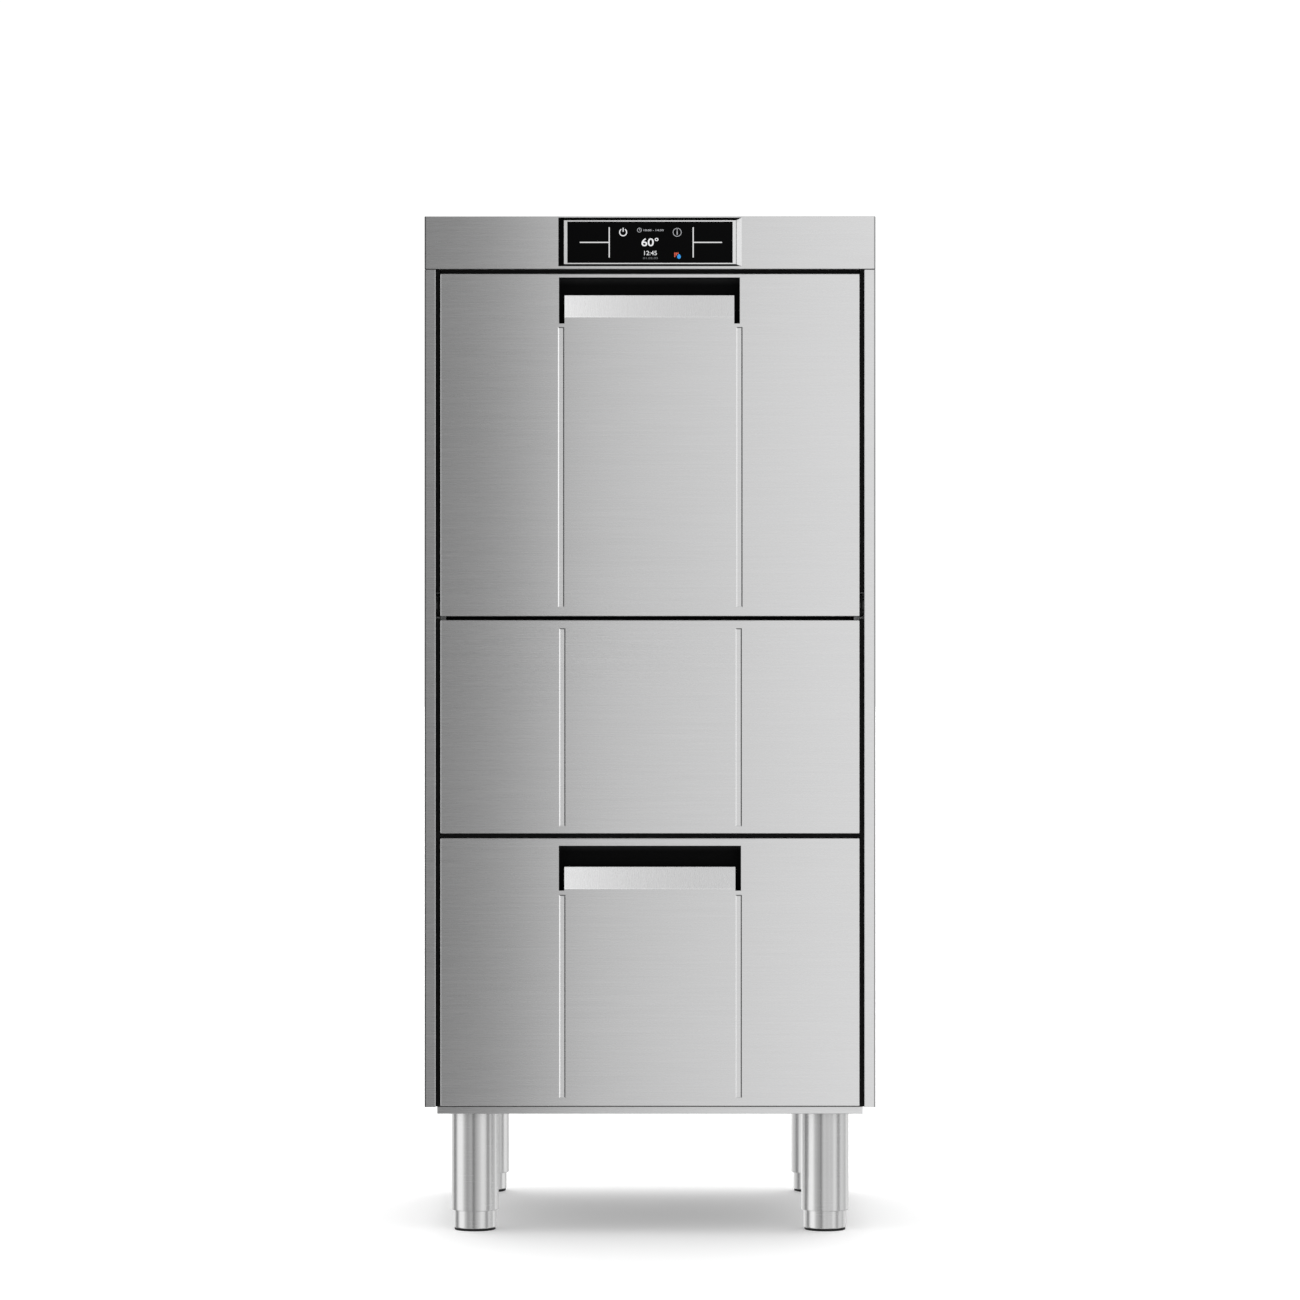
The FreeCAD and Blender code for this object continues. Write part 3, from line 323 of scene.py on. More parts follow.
def turned(name, tone, rough, aniso):
    """Turned or ground round steel: very fine rings around the upright axis, and painted reflection bands that change
    with the way each face turns across X.
    """
    m, t, p = surface(name, metallic=1.0, rough=rough)
    p.inputs["Anisotropic"].default_value = aniso
    tc = t.new("ShaderNodeTexCoord")
    x, y, z = t.split(tc.outputs["Object"])
    rings = t.noise(t.join(t.math("MULTIPLY", x, 14.0), t.math("MULTIPLY", y, 14.0), t.math("MULTIPLY", z, 1900.0)),
                    1.0, 2.0, 0.6)
    cloud = t.noise(tc.outputs["Object"], 9.0, 2.0, 0.5)
    nx, ny, nz = t.split(tc.outputs["Normal"])
    # painted reflection: bright and dark bands set by which way the surface faces across X
    painted_reflection_bands = t.vec("MULTIPLY", t.ramp(t.fit(nx, -1.0, 1.0, 0.0, 1.0), [
        (0.0, 0.50), (0.15, 0.49), (0.25, 0.45), (0.30, 0.43), (0.35, 0.35), (0.40, 0.385), (0.445, 0.40),
        (0.475, 0.37), (0.515, 0.31), (0.55, 0.295), (0.60, 0.315), (0.64, 0.355), (0.68, 0.43), (0.75, 0.46),
        (0.80, 0.43), (0.85, 0.475), (0.90, 0.54), (1.0, 0.52)], "LINEAR"), (2.0, 2.0, 2.0))
    painted_reflection_bands = t.split(painted_reflection_bands)[0]
    v = t.math("MULTIPLY_ADD", t.math("ADD", t.fit(rings, 0.3, 0.7, -0.018, 0.018),
                                      t.fit(cloud, 0.3, 0.7, -0.015, 0.015)), tone, tone)
    v = t.math("MULTIPLY", v, painted_reflection_bands)
    t.put(p.inputs["Base Color"], t.join(v, v, v))
    t.put(p.inputs["Roughness"], t.fit(rings, 0.3, 0.7, rough - 0.015, rough + 0.015))
    t.put(p.inputs["Normal"], t.bump(rings, 0.015, 0.0002))
    vt = t.new("ShaderNodeVectorTransform", vector_type="VECTOR", convert_from="OBJECT", convert_to="WORLD")
    vt.inputs[0].default_value = (0, 0, 1)
    t.put(p.inputs["Tangent"], vt.outputs[0])
    return m


def moulded(name, color, rough, grain=0.06, scale=900.0, relief=0.12, depth=0.00015, **sockets):
    """Moulded plastic or rubber with a fine spark-eroded grain."""
    m, t, p = surface(name, rough=rough, **sockets)
    tc = t.new("ShaderNodeTexCoord")
    fine = t.noise(tc.outputs["Object"], scale, 3.0, 0.6)
    cloud = t.noise(tc.outputs["Object"], 14.0, 3.0, 0.5)
    f = t.math("ADD", t.math("MULTIPLY", fine, 0.5), t.math("MULTIPLY", cloud, 0.5))
    dark = tuple(c * (1 - grain) for c in color) + (1,)
    light = tuple(min(1.0, c * (1 + grain) + grain * 0.004) for c in color) + (1,)
    t.put(p.inputs["Base Color"], t.mix(t.fit(f, 0.35, 0.65, 0, 1), dark, light))
    t.put(p.inputs["Roughness"], t.math("ADD", t.fit(cloud, 0.3, 0.7, rough - 0.04, rough + 0.04),
                                        t.fit(fine, 0.3, 0.7, -0.03, 0.03)))
    t.put(p.inputs["Normal"], t.bump(fine, relief, depth))
    return m


def glass_black():
    m, t, p = surface("display_black_glass", rough=0.06, IOR=1.48)
    tc = t.new("ShaderNodeTexCoord")
    smear = t.noise(t.vec("MULTIPLY", tc.outputs["Object"], (22.0, 22.0, 60.0)), 1.0, 4.0, 0.6, 0.6)
    dust = t.noise(tc.outputs["Object"], 2600.0, 1.0, 0.5)
    t.put(p.inputs["Base Color"], t.mix(t.fit(dust, 0.66, 0.85, 0, 1), (0.0006, 0.0006, 0.0007, 1),
                                        (0.003, 0.003, 0.0034, 1)))
    t.put(p.inputs["Roughness"], t.fit(smear, 0.35, 0.75, 0.045, 0.13))
    p.inputs["Specular IOR Level"].default_value = 0.035
    return m


def dull_sheet(name, tone, rough):
    """Mill-finish sheet: dull, with a soft diffuse share and faint rolling lines."""
    m, t, p = surface(name, metallic=0.35, rough=rough)
    tc = t.new("ShaderNodeTexCoord")
    x, y, z = t.split(tc.outputs["Object"])
    roll = t.noise(t.join(t.math("MULTIPLY", x, 420.0), t.math("MULTIPLY", y, 9.0), t.math("MULTIPLY", z, 60.0)),
                   1.0, 3.0, 0.55)
    cloud = t.noise(tc.outputs["Object"], 12.0, 3.0, 0.55)
    v = t.math("ADD", t.fit(roll, 0.3, 0.7, tone * 0.95, tone * 1.05), t.fit(cloud, 0.3, 0.7, -0.015, 0.015))
    t.put(p.inputs["Base Color"], t.join(v, v, t.math("MULTIPLY", v, 1.006)))
    t.put(p.inputs["Roughness"], t.fit(cloud, 0.3, 0.7, rough - 0.04, rough + 0.04))
    t.put(p.inputs["Normal"], t.bump(roll, 0.05, 0.0003))
    return m


def cup_black():
    """Matt black moulding of the grip cups; a painted reflection makes it pale a little towards the upper shelf."""
    m, t, p = surface("cup_black_moulding", rough=0.6)
    tc = t.new("ShaderNodeTexCoord")
    x, y, z = t.split(tc.outputs["Object"])
    fine = t.noise(tc.outputs["Object"], 900.0, 3.0, 0.6)
    cloud = t.noise(tc.outputs["Object"], 16.0, 2.0, 0.5)
    shelf_painted_reflection = t.math("MAXIMUM", t.math("MULTIPLY", t.fit(z, 1.2640, 1.2730, 0.0, 1.0, True), t.math("LESS_THAN", z, 1.30)),
                   t.math("MULTIPLY", t.fit(z, 0.5080, 0.5170, 0.0, 1.0, True), t.math("LESS_THAN", z, 0.6)))
    f = t.math("MULTIPLY", shelf_painted_reflection, t.fit(cloud, 0.3, 0.7, 0.75, 1.0))
    f = t.math("MULTIPLY", f, t.fit(fine, 0.3, 0.7, 0.85, 1.0))
    t.put(p.inputs["Base Color"], t.mix(f, (0.0014, 0.0014, 0.0015, 1), (0.016, 0.016, 0.0165, 1)))
    t.put(p.inputs["Roughness"], t.fit(fine, 0.3, 0.7, 0.55, 0.66))
    t.put(p.inputs["Normal"], t.bump(fine, 0.1, 0.0002))
    p.inputs["Specular IOR Level"].default_value = 0.06
    return m


def frame_zinc():
    """Zinc-coated frame sheet; the hinge ears at its front are made near black as painted shade in the door gaps."""
    m, t, p = surface("frame_zinc_and_black", metallic=1.0, rough=0.38)
    tc = t.new("ShaderNodeTexCoord")
    x, y, z = t.split(tc.outputs["Object"])
    fine = t.noise(tc.outputs["Object"], 900.0, 2.0, 0.6)
    cloud = t.noise(tc.outputs["Object"], 10.0, 3.0, 0.55)
    v = t.math("ADD", t.fit(fine, 0.3, 0.7, 0.39, 0.44), t.fit(cloud, 0.3, 0.7, -0.03, 0.03))
    ear_painted_shade = t.math("MULTIPLY", t.math("GREATER_THAN", t.math("ABSOLUTE", x), 0.2795), t.math("LESS_THAN", y, -0.2585))
    v = t.math("MULTIPLY", v, t.math("MULTIPLY_ADD", ear_painted_shade, -0.985, 1.0))
    t.put(p.inputs["Base Color"], t.join(t.math("MULTIPLY", v, 0.985), v, v))
    t.put(p.inputs["Roughness"], t.fit(cloud, 0.3, 0.7, 0.34, 0.44))
    t.put(p.inputs["Normal"], t.bump(fine, 0.05, 0.0002))
    return m


def board():
    """Green circuit board with pale copper tracks under the lacquer."""
    m, t, p = surface("circuit_board_lacquer", rough=0.35)
    tc = t.new("ShaderNodeTexCoord")
    x, y, z = t.split(tc.outputs["Object"])
    cell = t.new("ShaderNodeTexBrick")
    t.put(cell.inputs["Vector"], t.join(x, z, 0.0))
    cell.inputs["Scale"].default_value = 130.0
    cell.inputs["Mortar Size"].default_value = 0.05
    cell.inputs["Color1"].default_value = (0.012, 0.085, 0.035, 1)
    cell.inputs["Color2"].default_value = (0.016, 0.105, 0.042, 1)
    cell.inputs["Mortar"].default_value = (0.05, 0.22, 0.10, 1)
    back = t.math("GREATER_THAN", y, -0.2852)
    t.put(p.inputs["Base Color"], t.mix(back, cell.outputs["Color"], (0.012, 0.012, 0.013, 1)))
    t.put(p.inputs["Normal"], t.bump(cell.outputs["Fac"], 0.3, 0.0001))
    return m


def hose():
    """Black fabric-reinforced rubber hose: faint crossed ply under the skin."""
    m, t, p = surface("hose_rubber_skin", rough=0.55)
    tc = t.new("ShaderNodeTexCoord")
    a = t.wave(t.vec("MULTIPLY", tc.outputs["Object"], (1.0, 1.0, 1.0)), 160.0, 0.0, "DIAGONAL")
    n = t.noise(tc.outputs["Object"], 500.0, 2.0, 0.6)
    t.put(p.inputs["Base Color"], t.mix(t.math("MULTIPLY", a, n), (0.016, 0.016, 0.017, 1), (0.035, 0.035, 0.037, 1)))
    t.put(p.inputs["Roughness"], t.fit(n, 0.3, 0.7, 0.46, 0.62))
    t.put(p.inputs["Normal"], t.bump(a, 0.15, 0.0003))
    return m


def heat_tinted():
    """Heating element sheath: dull steel with a straw to blue heat tint."""
    m, t, p = surface("heater_sheath", metallic=1.0, rough=0.42)
    tc = t.new("ShaderNodeTexCoord")
    n = t.noise(tc.outputs["Object"], 26.0, 3.0, 0.6)
    n2 = t.noise(tc.outputs["Object"], 800.0, 2.0, 0.5)
    c = t.new("ShaderNodeValToRGB")
    for e, (q, col) in zip([c.color_ramp.elements[0], c.color_ramp.elements[1], c.color_ramp.elements.new(0.55)],
                           [(0.25, (0.30, 0.27, 0.23, 1)), (0.8, (0.18, 0.20, 0.27, 1)), (0.5, (0.36, 0.30, 0.21, 1))]):
        e.position = q
        e.color = col
    t.put(c.inputs[0], n)
    t.put(p.inputs["Base Color"], c.outputs[0])
    t.put(p.inputs["Roughness"], t.fit(n2, 0.3, 0.7, 0.36, 0.5))
    t.put(p.inputs["Normal"], t.bump(n2, 0.1, 0.0001))
    return m


def lit(name, color, strength):
    """Lit pixels of the display: a fine raster modulates the colour."""
    m, t, p = surface(name, rough=0.5)
    tc = t.new("ShaderNodeTexCoord")
    x, y, z = t.split(tc.outputs["Object"])
    raster = t.math("MULTIPLY", t.math("SINE", t.math("MULTIPLY", x, 2 * math.pi / 0.00035)),
                    t.math("SINE", t.math("MULTIPLY", z, 2 * math.pi / 0.00035)))
    f = t.fit(raster, -1.0, 1.0, 0.0, 1.0)
    a = tuple(c * 0.93 for c in color) + (1,)
    b = tuple(color) + (1,)
    c = t.mix(f, a, b)
    t.put(p.inputs["Base Color"], t.mix(f, (0.02, 0.02, 0.02, 1), (0.03, 0.03, 0.03, 1)))
    t.put(p.inputs["Emission Color"], c)
    p.inputs["Emission Strength"].default_value = strength
    p.inputs["Specular IOR Level"].default_value = 0.2
    return m


M = {}
M["panel"] = brushed("panel_brushed_steel", STEEL, 0.28, 0.88, fold_shade=True)
M["fascia"] = brushed("fascia_brushed_steel", STEEL, 0.28, 0.88, recess_shade=(0.1222, 1.2884, 1.3536, -0.2989, -0.2935),
                      fold_shade=True)
M["tray"] = brushed("tray_brushed_steel", STEEL, 0.28, 0.88, underside_shade=0.1605)
M["door"] = brushed("door_brushed_steel", STEEL, 0.28, 0.88, lips=LIP_DOOR, bead_light_and_shade=True)
M["drawer"] = brushed("drawer_brushed_steel", STEEL, 0.28, 0.88, lips=LIP_DRAWER, bead_light_and_shade=True)
M["lower"] = brushed("lower_panel_brushed_steel", STEEL, 0.28, 0.88, bead_light_and_shade=True)
M["inner"] = brushed("inner_sheet_steel", 0.50, 0.33, 0.35, grain=0.03, relief=0.05, run=14.0, pitch=420.0)
M["tub"] = brushed("tub_sheet_steel", 0.68, 0.24, 0.30, grain=0.025, relief=0.04, run=12.0, pitch=500.0)
M["box"] = dull_sheet("drawer_box_dull_steel", 0.50, 0.46)
M["galvanised"] = satin("zinc_coated_sheet", 0.42, 0.38, grain=0.06, scale=160.0, tint=(0.985, 0.995, 1.0))
M["leg"] = turned("leg_turned_steel", 0.62, 0.26, 0.50)
M["polished"] = satin("polished_steel", 0.60, 0.16, grain=0.015, scale=300.0, relief=0.02)
M["spring"] = satin("spring_steel", 0.40, 0.30, grain=0.05, scale=300.0)
M["rubber"] = moulded("black_rubber_grain", (0.006, 0.006, 0.0061), 0.62, scale=700.0, **{"Specular_IOR_Level": 0.25})
# painted shade: the gap trims are near black so that the door gaps read as shade
M["trim"] = moulded("gap_shade_black_rubber", (0.004, 0.004, 0.004), 0.75, scale=600.0, **{"Specular_IOR_Level": 0.15})
M["black"] = moulded("black_moulded_plastic", (0.013, 0.013, 0.0135), 0.42, scale=900.0)
M["cup"] = cup_black()
M["frame"] = frame_zinc()
M["greyp"] = moulded("grey_moulded_plastic", (0.30, 0.31, 0.33), 0.45, grain=0.03)
M["darkp"] = moulded("dark_grey_plastic", (0.055, 0.058, 0.062), 0.48, grain=0.05)
M["basket"] = moulded("basket_blue_plastic", (0.045, 0.105, 0.23), 0.40, grain=0.05, scale=700.0)
M["glass"] = glass_black()
M["bezel"] = satin("bezel_satin_aluminium", 0.66, 0.34, grain=0.02, scale=500.0)
M["board"] = board()
M["motor"] = moulded("motor_grey_paint", (0.045, 0.050, 0.056), 0.38, grain=0.05, scale=420.0, relief=0.25, depth=0.0004)
M["hose"] = hose()
M["heater"] = heat_tinted()

WEAR = {
    "base_tray": "tray", "leg_sleeves": "leg", "fasteners": "polished", "side_panel_left": "panel",
    "side_panel_right": "panel", "rear_panel": "galvanised", "top_cover": "panel", "control_fascia": "fascia",
    "display_bezel": "bezel", "display_glass": "glass", "display_module": "board", "inner_frame": "frame",
    "machine_deck": "galvanised", "gap_trims": "trim", "lower_front_panel": "lower", "tub_walls": "tub",
    "tub_roof": "tub", "tub_sump": "tub", "door_seal": "rubber", "rack": "basket", "tank_filters": "inner",
    "standpipe": "greyp", "arm_pedestals": "inner", "wash_pump_motor": "motor", "wash_pump_volute": "darkp",
    "wash_pipes": "hose", "boiler": "inner", "heating_elements": "heater", "hoses": "hose", "drain_pump": "darkp",
    "water_connections": "darkp", "cable_gland": "black", "dosing_pumps": "greyp", "terminal_box": "greyp",
    "hinge_pins": "black", "door_springs": "spring", "drawer_runner_outer": "galvanised",
    "lower_wash_arm": "inner", "lower_rinse_arm": "polished", "upper_wash_arm": "inner",
    "upper_rinse_arm": "polished", "wash_pump_rotor": "greyp", "door_outer_panel": "door",
    "door_inner_panel": "tub", "door_handle_cup": "cup", "door_hinge_arms": "galvanised",
    "drawer_front_panel": "drawer", "drawer_front_liner": "inner", "drawer_handle_cup": "cup",
    "drawer_box": "box", "drawer_runner_middle": "galvanised", "drawer_runner_inner": "galvanised",
}
for corner in ("front_left", "front_right", "rear_left", "rear_right"):
    WEAR["foot_" + corner] = "leg"
    WEAR["foot_pad_" + corner] = "rubber"

for name, obj in NODES.items():
    mat = M[WEAR[name]]
    obj.data.materials.clear()
    obj.data.materials.append(mat)
    for slot in obj.material_slots:
        slot.material = mat


# ------------------------------------------------------------------ display graphics
def piece(name, bm, material, body="cabinet"):
    mesh = bpy.data.meshes.new(name)
    bmesh.ops.recalc_face_normals(bm, faces=bm.faces)
    bm.to_mesh(mesh)
    bm.free()
    o = bpy.data.objects.new(name, mesh)
    scene.collection.objects.link(o)
    mesh.materials.append(material)
    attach(o, body)
    return o


FILM = 0.00008             # the graphics stand this far in front of the glass


def prism(bm, points, y=GLASS_Y, depth=FILM):
    """Closed thin prism over a polygon given as (x, z)."""
    front = [bm.verts.new((x, y - depth, z)) for x, z in points]
    back = [bm.verts.new((x, y, z)) for x, z in points]
    bm.faces.new(front)
    bm.faces.new(list(reversed(back)))
    n = len(points)
    for i in range(n):
        j = (i + 1) % n
        bm.faces.new((front[i], back[i], back[j], front[j]))


def bar(bm, x0, x1, z0, z1):
    prism(bm, [(x0, z0), (x1, z0), (x1, z1), (x0, z1)])


def arc_band(bm, cx, cz, r0, r1, a0, a1, steps):
    """Part of a ring as short closed segments."""
    outer, inner = [], []
    for i in range(steps + 1):
        a = math.radians(a0 + (a1 - a0) * i / steps)
        outer.append((cx + r1 * math.cos(a), cz + r1 * math.sin(a)))
        inner.append((cx + r0 * math.cos(a), cz + r0 * math.sin(a)))
    full = abs(abs(a1 - a0) - 360) < 1e-6
    y0, y1 = GLASS_Y - FILM, GLASS_Y
    count = steps if full else steps + 1
    of = [bm.verts.new((x, y0, z)) for x, z in outer[:count]]
    inf = [bm.verts.new((x, y0, z)) for x, z in inner[:count]]
    ob = [bm.verts.new((x, y1, z)) for x, z in outer[:count]]
    ib = [bm.verts.new((x, y1, z)) for x, z in inner[:count]]
    last = count if full else count - 1
    for i in range(last):
        j = (i + 1) % count
        bm.faces.new((of[i], of[j], inf[j], inf[i]))
        bm.faces.new((ob[i], ib[i], ib[j], ob[j]))
        bm.faces.new((of[i], ob[i], ob[j], of[j]))
        bm.faces.new((inf[i], inf[j], ib[j], ib[i]))
    if not full:
        for i in (0, count - 1):
            bm.faces.new((of[i], inf[i], ib[i], ob[i]))


def disc(bm, cx, cz, r, steps=28):
    prism(bm, [(cx + r * math.cos(2 * math.pi * i / steps), cz + r * math.sin(2 * math.pi * i / steps))
               for i in range(steps)])


def rounded_bar(bm, axis, a0, a1, centre, size, chamfer):
    """Bar along one axis with chamfered long edges, closed at both ends."""
    (c1, c2), (w1, w2), k = centre, (size[0] / 2, size[1] / 2), chamfer
    ring = [(w1, w2 - k), (w1 - k, w2), (k - w1, w2), (-w1, w2 - k), (-w1, k - w2), (k - w1, -w2), (w1 - k, -w2),
            (w1, k - w2)]
    ends = []
    for a in (a0, a1):
        vs = []
        for u, v in ring:
            p = {"x": (a, c1 + u, c2 + v), "y": (c1 + u, a, c2 + v), "z": (c1 + u, c2 + v, a)}[axis]
            vs.append(bm.verts.new(p))
        ends.append(vs)
    bm.faces.new(ends[0])
    bm.faces.new(list(reversed(ends[1])))
    for i in range(8):
        j = (i + 1) % 8
        bm.faces.new((ends[0][i], ends[0][j], ends[1][j], ends[1][i]))


def rim(bm, half, radius, z, width, height, chamfer, steps=7):
    """Closed square rail with rounded corners and a chamfered section."""
    path = []
    for q, (sx, sy) in enumerate(((1, 1), (-1, 1), (-1, -1), (1, -1))):
        cx, cy = sx * (half - radius), sy * (half - radius)
        for i in range(steps + 1):
            a = math.radians(90 * q + 90 * i / steps)
            path.append((cx, cy, math.cos(a), math.sin(a)))
    w, h, k = width / 2, height / 2, chamfer
    ring = [(w, h - k), (w - k, h), (k - w, h), (-w, h - k), (-w, k - h), (k - w, -h), (w - k, -h), (w, k - h)]
    loops = []
    for cx, cy, ux, uy in path:
        loops.append([bm.verts.new((cx + (radius - w + u) * ux, cy + (radius - w + u) * uy, z + v)) for u, v in ring])
    n = len(loops)
    for i in range(n):
        a, b = loops[i], loops[(i + 1) % n]
        for j in range(8):
            k2 = (j + 1) % 8
            bm.faces.new((a[j], a[k2], b[k2], b[j]))


# dish basket: rounded rails, upright bars and a floor grid
bm = bmesh.new()
BZ0, BZ1, BH = 0.912, 1.012, 0.250
rim(bm, BH, 0.026, BZ1 - 0.0055, 0.010, 0.011, 0.0028)
rim(bm, BH - 0.002, 0.024, BZ1 - 0.021, 0.0045, 0.004, 0.0012)
rim(bm, BH - 0.0015, 0.0245, 0.963, 0.0045, 0.007, 0.0014)
rim(bm, BH - 0.0005, 0.0255, BZ0 + 0.0045, 0.008, 0.009, 0.0022)
for i in range(11):
    c = -0.225 + 0.045 * i
    wide = 0.009 if i % 2 == 0 else 0.0045
    for s in (-1, 1):
        rounded_bar(bm, "z", BZ0 + 0.004, BZ1 - 0.004, (c, s * (BH - 0.0038)), (wide, 0.0042), 0.0013)
        rounded_bar(bm, "z", BZ0 + 0.004, BZ1 - 0.004, (s * (BH - 0.0038), c), (0.0042, wide), 0.0013)
for i in range(17):
    c = -0.232 + 0.029 * i
    thick = 0.0058 if i % 4 == 0 else 0.0034
    rounded_bar(bm, "x", -BH + 0.004, BH - 0.004, (c, BZ0 + 0.0035), (thick, 0.0062 if i % 4 == 0 else 0.0045), 0.0011)
    rounded_bar(bm, "y", -BH + 0.004, BH - 0.004, (c, BZ0 + 0.0035), (thick, 0.0062 if i % 4 == 0 else 0.0045), 0.0011)
basket = piece("dish_basket", bm, M["basket"])
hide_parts("rack")

white = lit("display_lit_white", (0.86, 0.87, 0.88), 1.0)
soft = lit("display_lit_grey", (0.42, 0.43, 0.45), 1.0)
dim = lit("display_lit_dim", (0.10, 0.105, 0.11), 1.0)
red = lit("display_lit_red", (0.72, 0.10, 0.05), 1.0)
blue = lit("display_lit_blue", (0.01, 0.30, 0.78), 1.0)

# two T-shaped guide lines beside the middle field
bm = bmesh.new()
w = 1.12 * PX / 2
for s, xv in ((-1, 609.2), (1, 693.2)):
    xc = px_x(xv)
    bar(bm, xc - w, xc + w, px_z(257.2), px_z(227.0))
    a, b = (px_x(579.8), xc - w) if s < 0 else (xc + w, px_x(722.0))
    bar(bm, a, b, px_z(242.1) - w, px_z(242.1) + w)
piece("display_guide_lines", bm, lit("display_lit_lines", (0.74, 0.74, 0.74), 1.0))

# power key: open ring with a stem
bm = bmesh.new()
cx, cz = px_x(623.1), px_z(232.0)
arc_band(bm, cx, cz, 0.0040, 0.0053, 90 + 32, 90 + 328, 40)
bar(bm, cx - 0.00062, cx + 0.00062, cz + 0.0008, cz + 0.0060)
piece("display_power_key", bm, white)

# information key: ring with a dot and a stem
bm = bmesh.new()
cx, cz = px_x(677.2), px_z(232.0)
arc_band(bm, cx, cz, 0.0050, 0.0058, 0, 360, 44)
piece("display_info_ring", bm, soft)
bm = bmesh.new()
bar(bm, cx - 0.00070, cx + 0.00070, cz - 0.0033, cz + 0.0014)
disc(bm, cx, cz + 0.0031, 0.00085, 20)
piece("display_info_mark", bm, soft)

# small clock: a ring with two short hands
bm = bmesh.new()
cx, cz = px_x(639.4), px_z(229.8)
arc_band(bm, cx, cz, 0.0024, 0.0031, 0, 360, 36)
bar(bm, cx - 0.00030, cx + 0.00030, cz - 0.0001, cz + 0.0020)
bar(bm, cx - 0.0001, cx + 0.0016, cz - 0.00030, cz + 0.00030)
piece("display_clock", bm, soft)


def digits(name, text, x0, x1, z0, z1, material, thicken=0.0):
    """Plain numerals made from the built-in typeface, fitted to a box and made solid."""
    curve = bpy.data.curves.new(name + "_curve", "FONT")
    curve.body = text
    curve.size = 1.0
    curve.resolution_u = 6
    curve.offset = thicken
    tmp = bpy.data.objects.new(name + "_tmp", curve)
    scene.collection.objects.link(tmp)
    bpy.context.view_layer.update()
    dg = bpy.context.evaluated_depsgraph_get()
    mesh = bpy.data.meshes.new_from_object(tmp.evaluated_get(dg))
    bpy.data.objects.remove(tmp)
    bpy.data.curves.remove(curve)
    b = bmesh.new()
    b.from_mesh(mesh)
    bpy.data.meshes.remove(mesh)
    bmesh.ops.remove_doubles(b, verts=b.verts, dist=1e-5)
    xs = [v.co.x for v in b.verts]
    ys = [v.co.y for v in b.verts]
    sx, sz = (x1 - x0) / (max(xs) - min(xs)), (z1 - z0) / (max(ys) - min(ys))
    mx, my = min(xs), min(ys)
    for v in b.verts:
        v.co = Vector((x0 + (v.co.x - mx) * sx, GLASS_Y - FILM, z0 + (v.co.y - my) * sz))
    ext = bmesh.ops.extrude_face_region(b, geom=list(b.faces))
    for v in [e for e in ext["geom"] if isinstance(e, bmesh.types.BMVert)]:
        v.co.y = GLASS_Y
    return piece(name, b, material)


digits("display_schedule_digits", "10:00 - 14:30", px_x(643.6), px_x(663.6), px_z(230.9), px_z(229.0), soft, 0.02)
digits("display_temperature_digits", "60°", px_x(641.5), px_x(658.5), px_z(246.0), px_z(237.6), white, 0.012)
digits("display_time_digits", "12:45", px_x(644.2), px_x(656.8), px_z(254.9), px_z(250.6), white, 0.0)
digits("display_date_digits", "01.02.03", px_x(643.0), px_x(657.8), px_z(258.9), px_z(256.9), dim, 0.02)

# load mark: a red grid square with a blue drop over its lower corner
bm = bmesh.new()
for i in range(3):
    for j in range(3):
        if (i, j) in ((2, 0), (2, 1), (1, 0)):
            continue
        ax = px_x(674.2) + i * 0.0021
        az = px_z(252.0) - 0.0063 + j * 0.0021
        bar(bm, ax, ax + 0.00165, az, az + 0.00165)
piece("display_load_mark", bm, red)
bm = bmesh.new()
cx, cz = px_x(679.0), px_z(256.6)
pts = []
for i in range(36):
    a = 2 * math.pi * i / 36
    r = 0.0025
    pts.append((cx + r * math.cos(a), cz + r * math.sin(a) + (0.0014 * max(0.0, math.sin(a)) ** 6)))
prism(bm, pts)
piece("display_water_mark", bm, blue)

# ------------------------------------------------------------------ floor and light
floor_mat = bpy.data.materials.new("floor_white")
floor_mat.use_nodes = True
t = Tree(floor_mat.node_tree)
out = t.new("ShaderNodeOutputMaterial")
diff = t.new("ShaderNodeBsdfDiffuse")
tc = t.new("ShaderNodeTexCoord")
n = t.noise(tc.outputs["Object"], 60.0, 3.0, 0.5)
t.put(diff.inputs["Color"], t.mix(n, (0.86, 0.86, 0.86, 1), (0.88, 0.88, 0.88, 1)))
emit = t.new("ShaderNodeEmission")
emit.inputs["Color"].default_value = (1, 1, 1, 1)
emit.inputs["Strength"].default_value = 0.262
add = t.new("ShaderNodeAddShader")
t.put(add.inputs[0], diff.outputs[0])
t.put(add.inputs[1], emit.outputs[0])
t.put(out.inputs[0], add.outputs[0])

bm = bmesh.new()
bmesh.ops.create_circle(bm, cap_ends=True, radius=60.0, segments=64)
mesh = bpy.data.meshes.new("floor")
bm.to_mesh(mesh)
bm.free()
floor = bpy.data.objects.new("floor", mesh)
scene.collection.objects.link(floor)
mesh.materials.append(floor_mat)
floor.visible_glossy = False


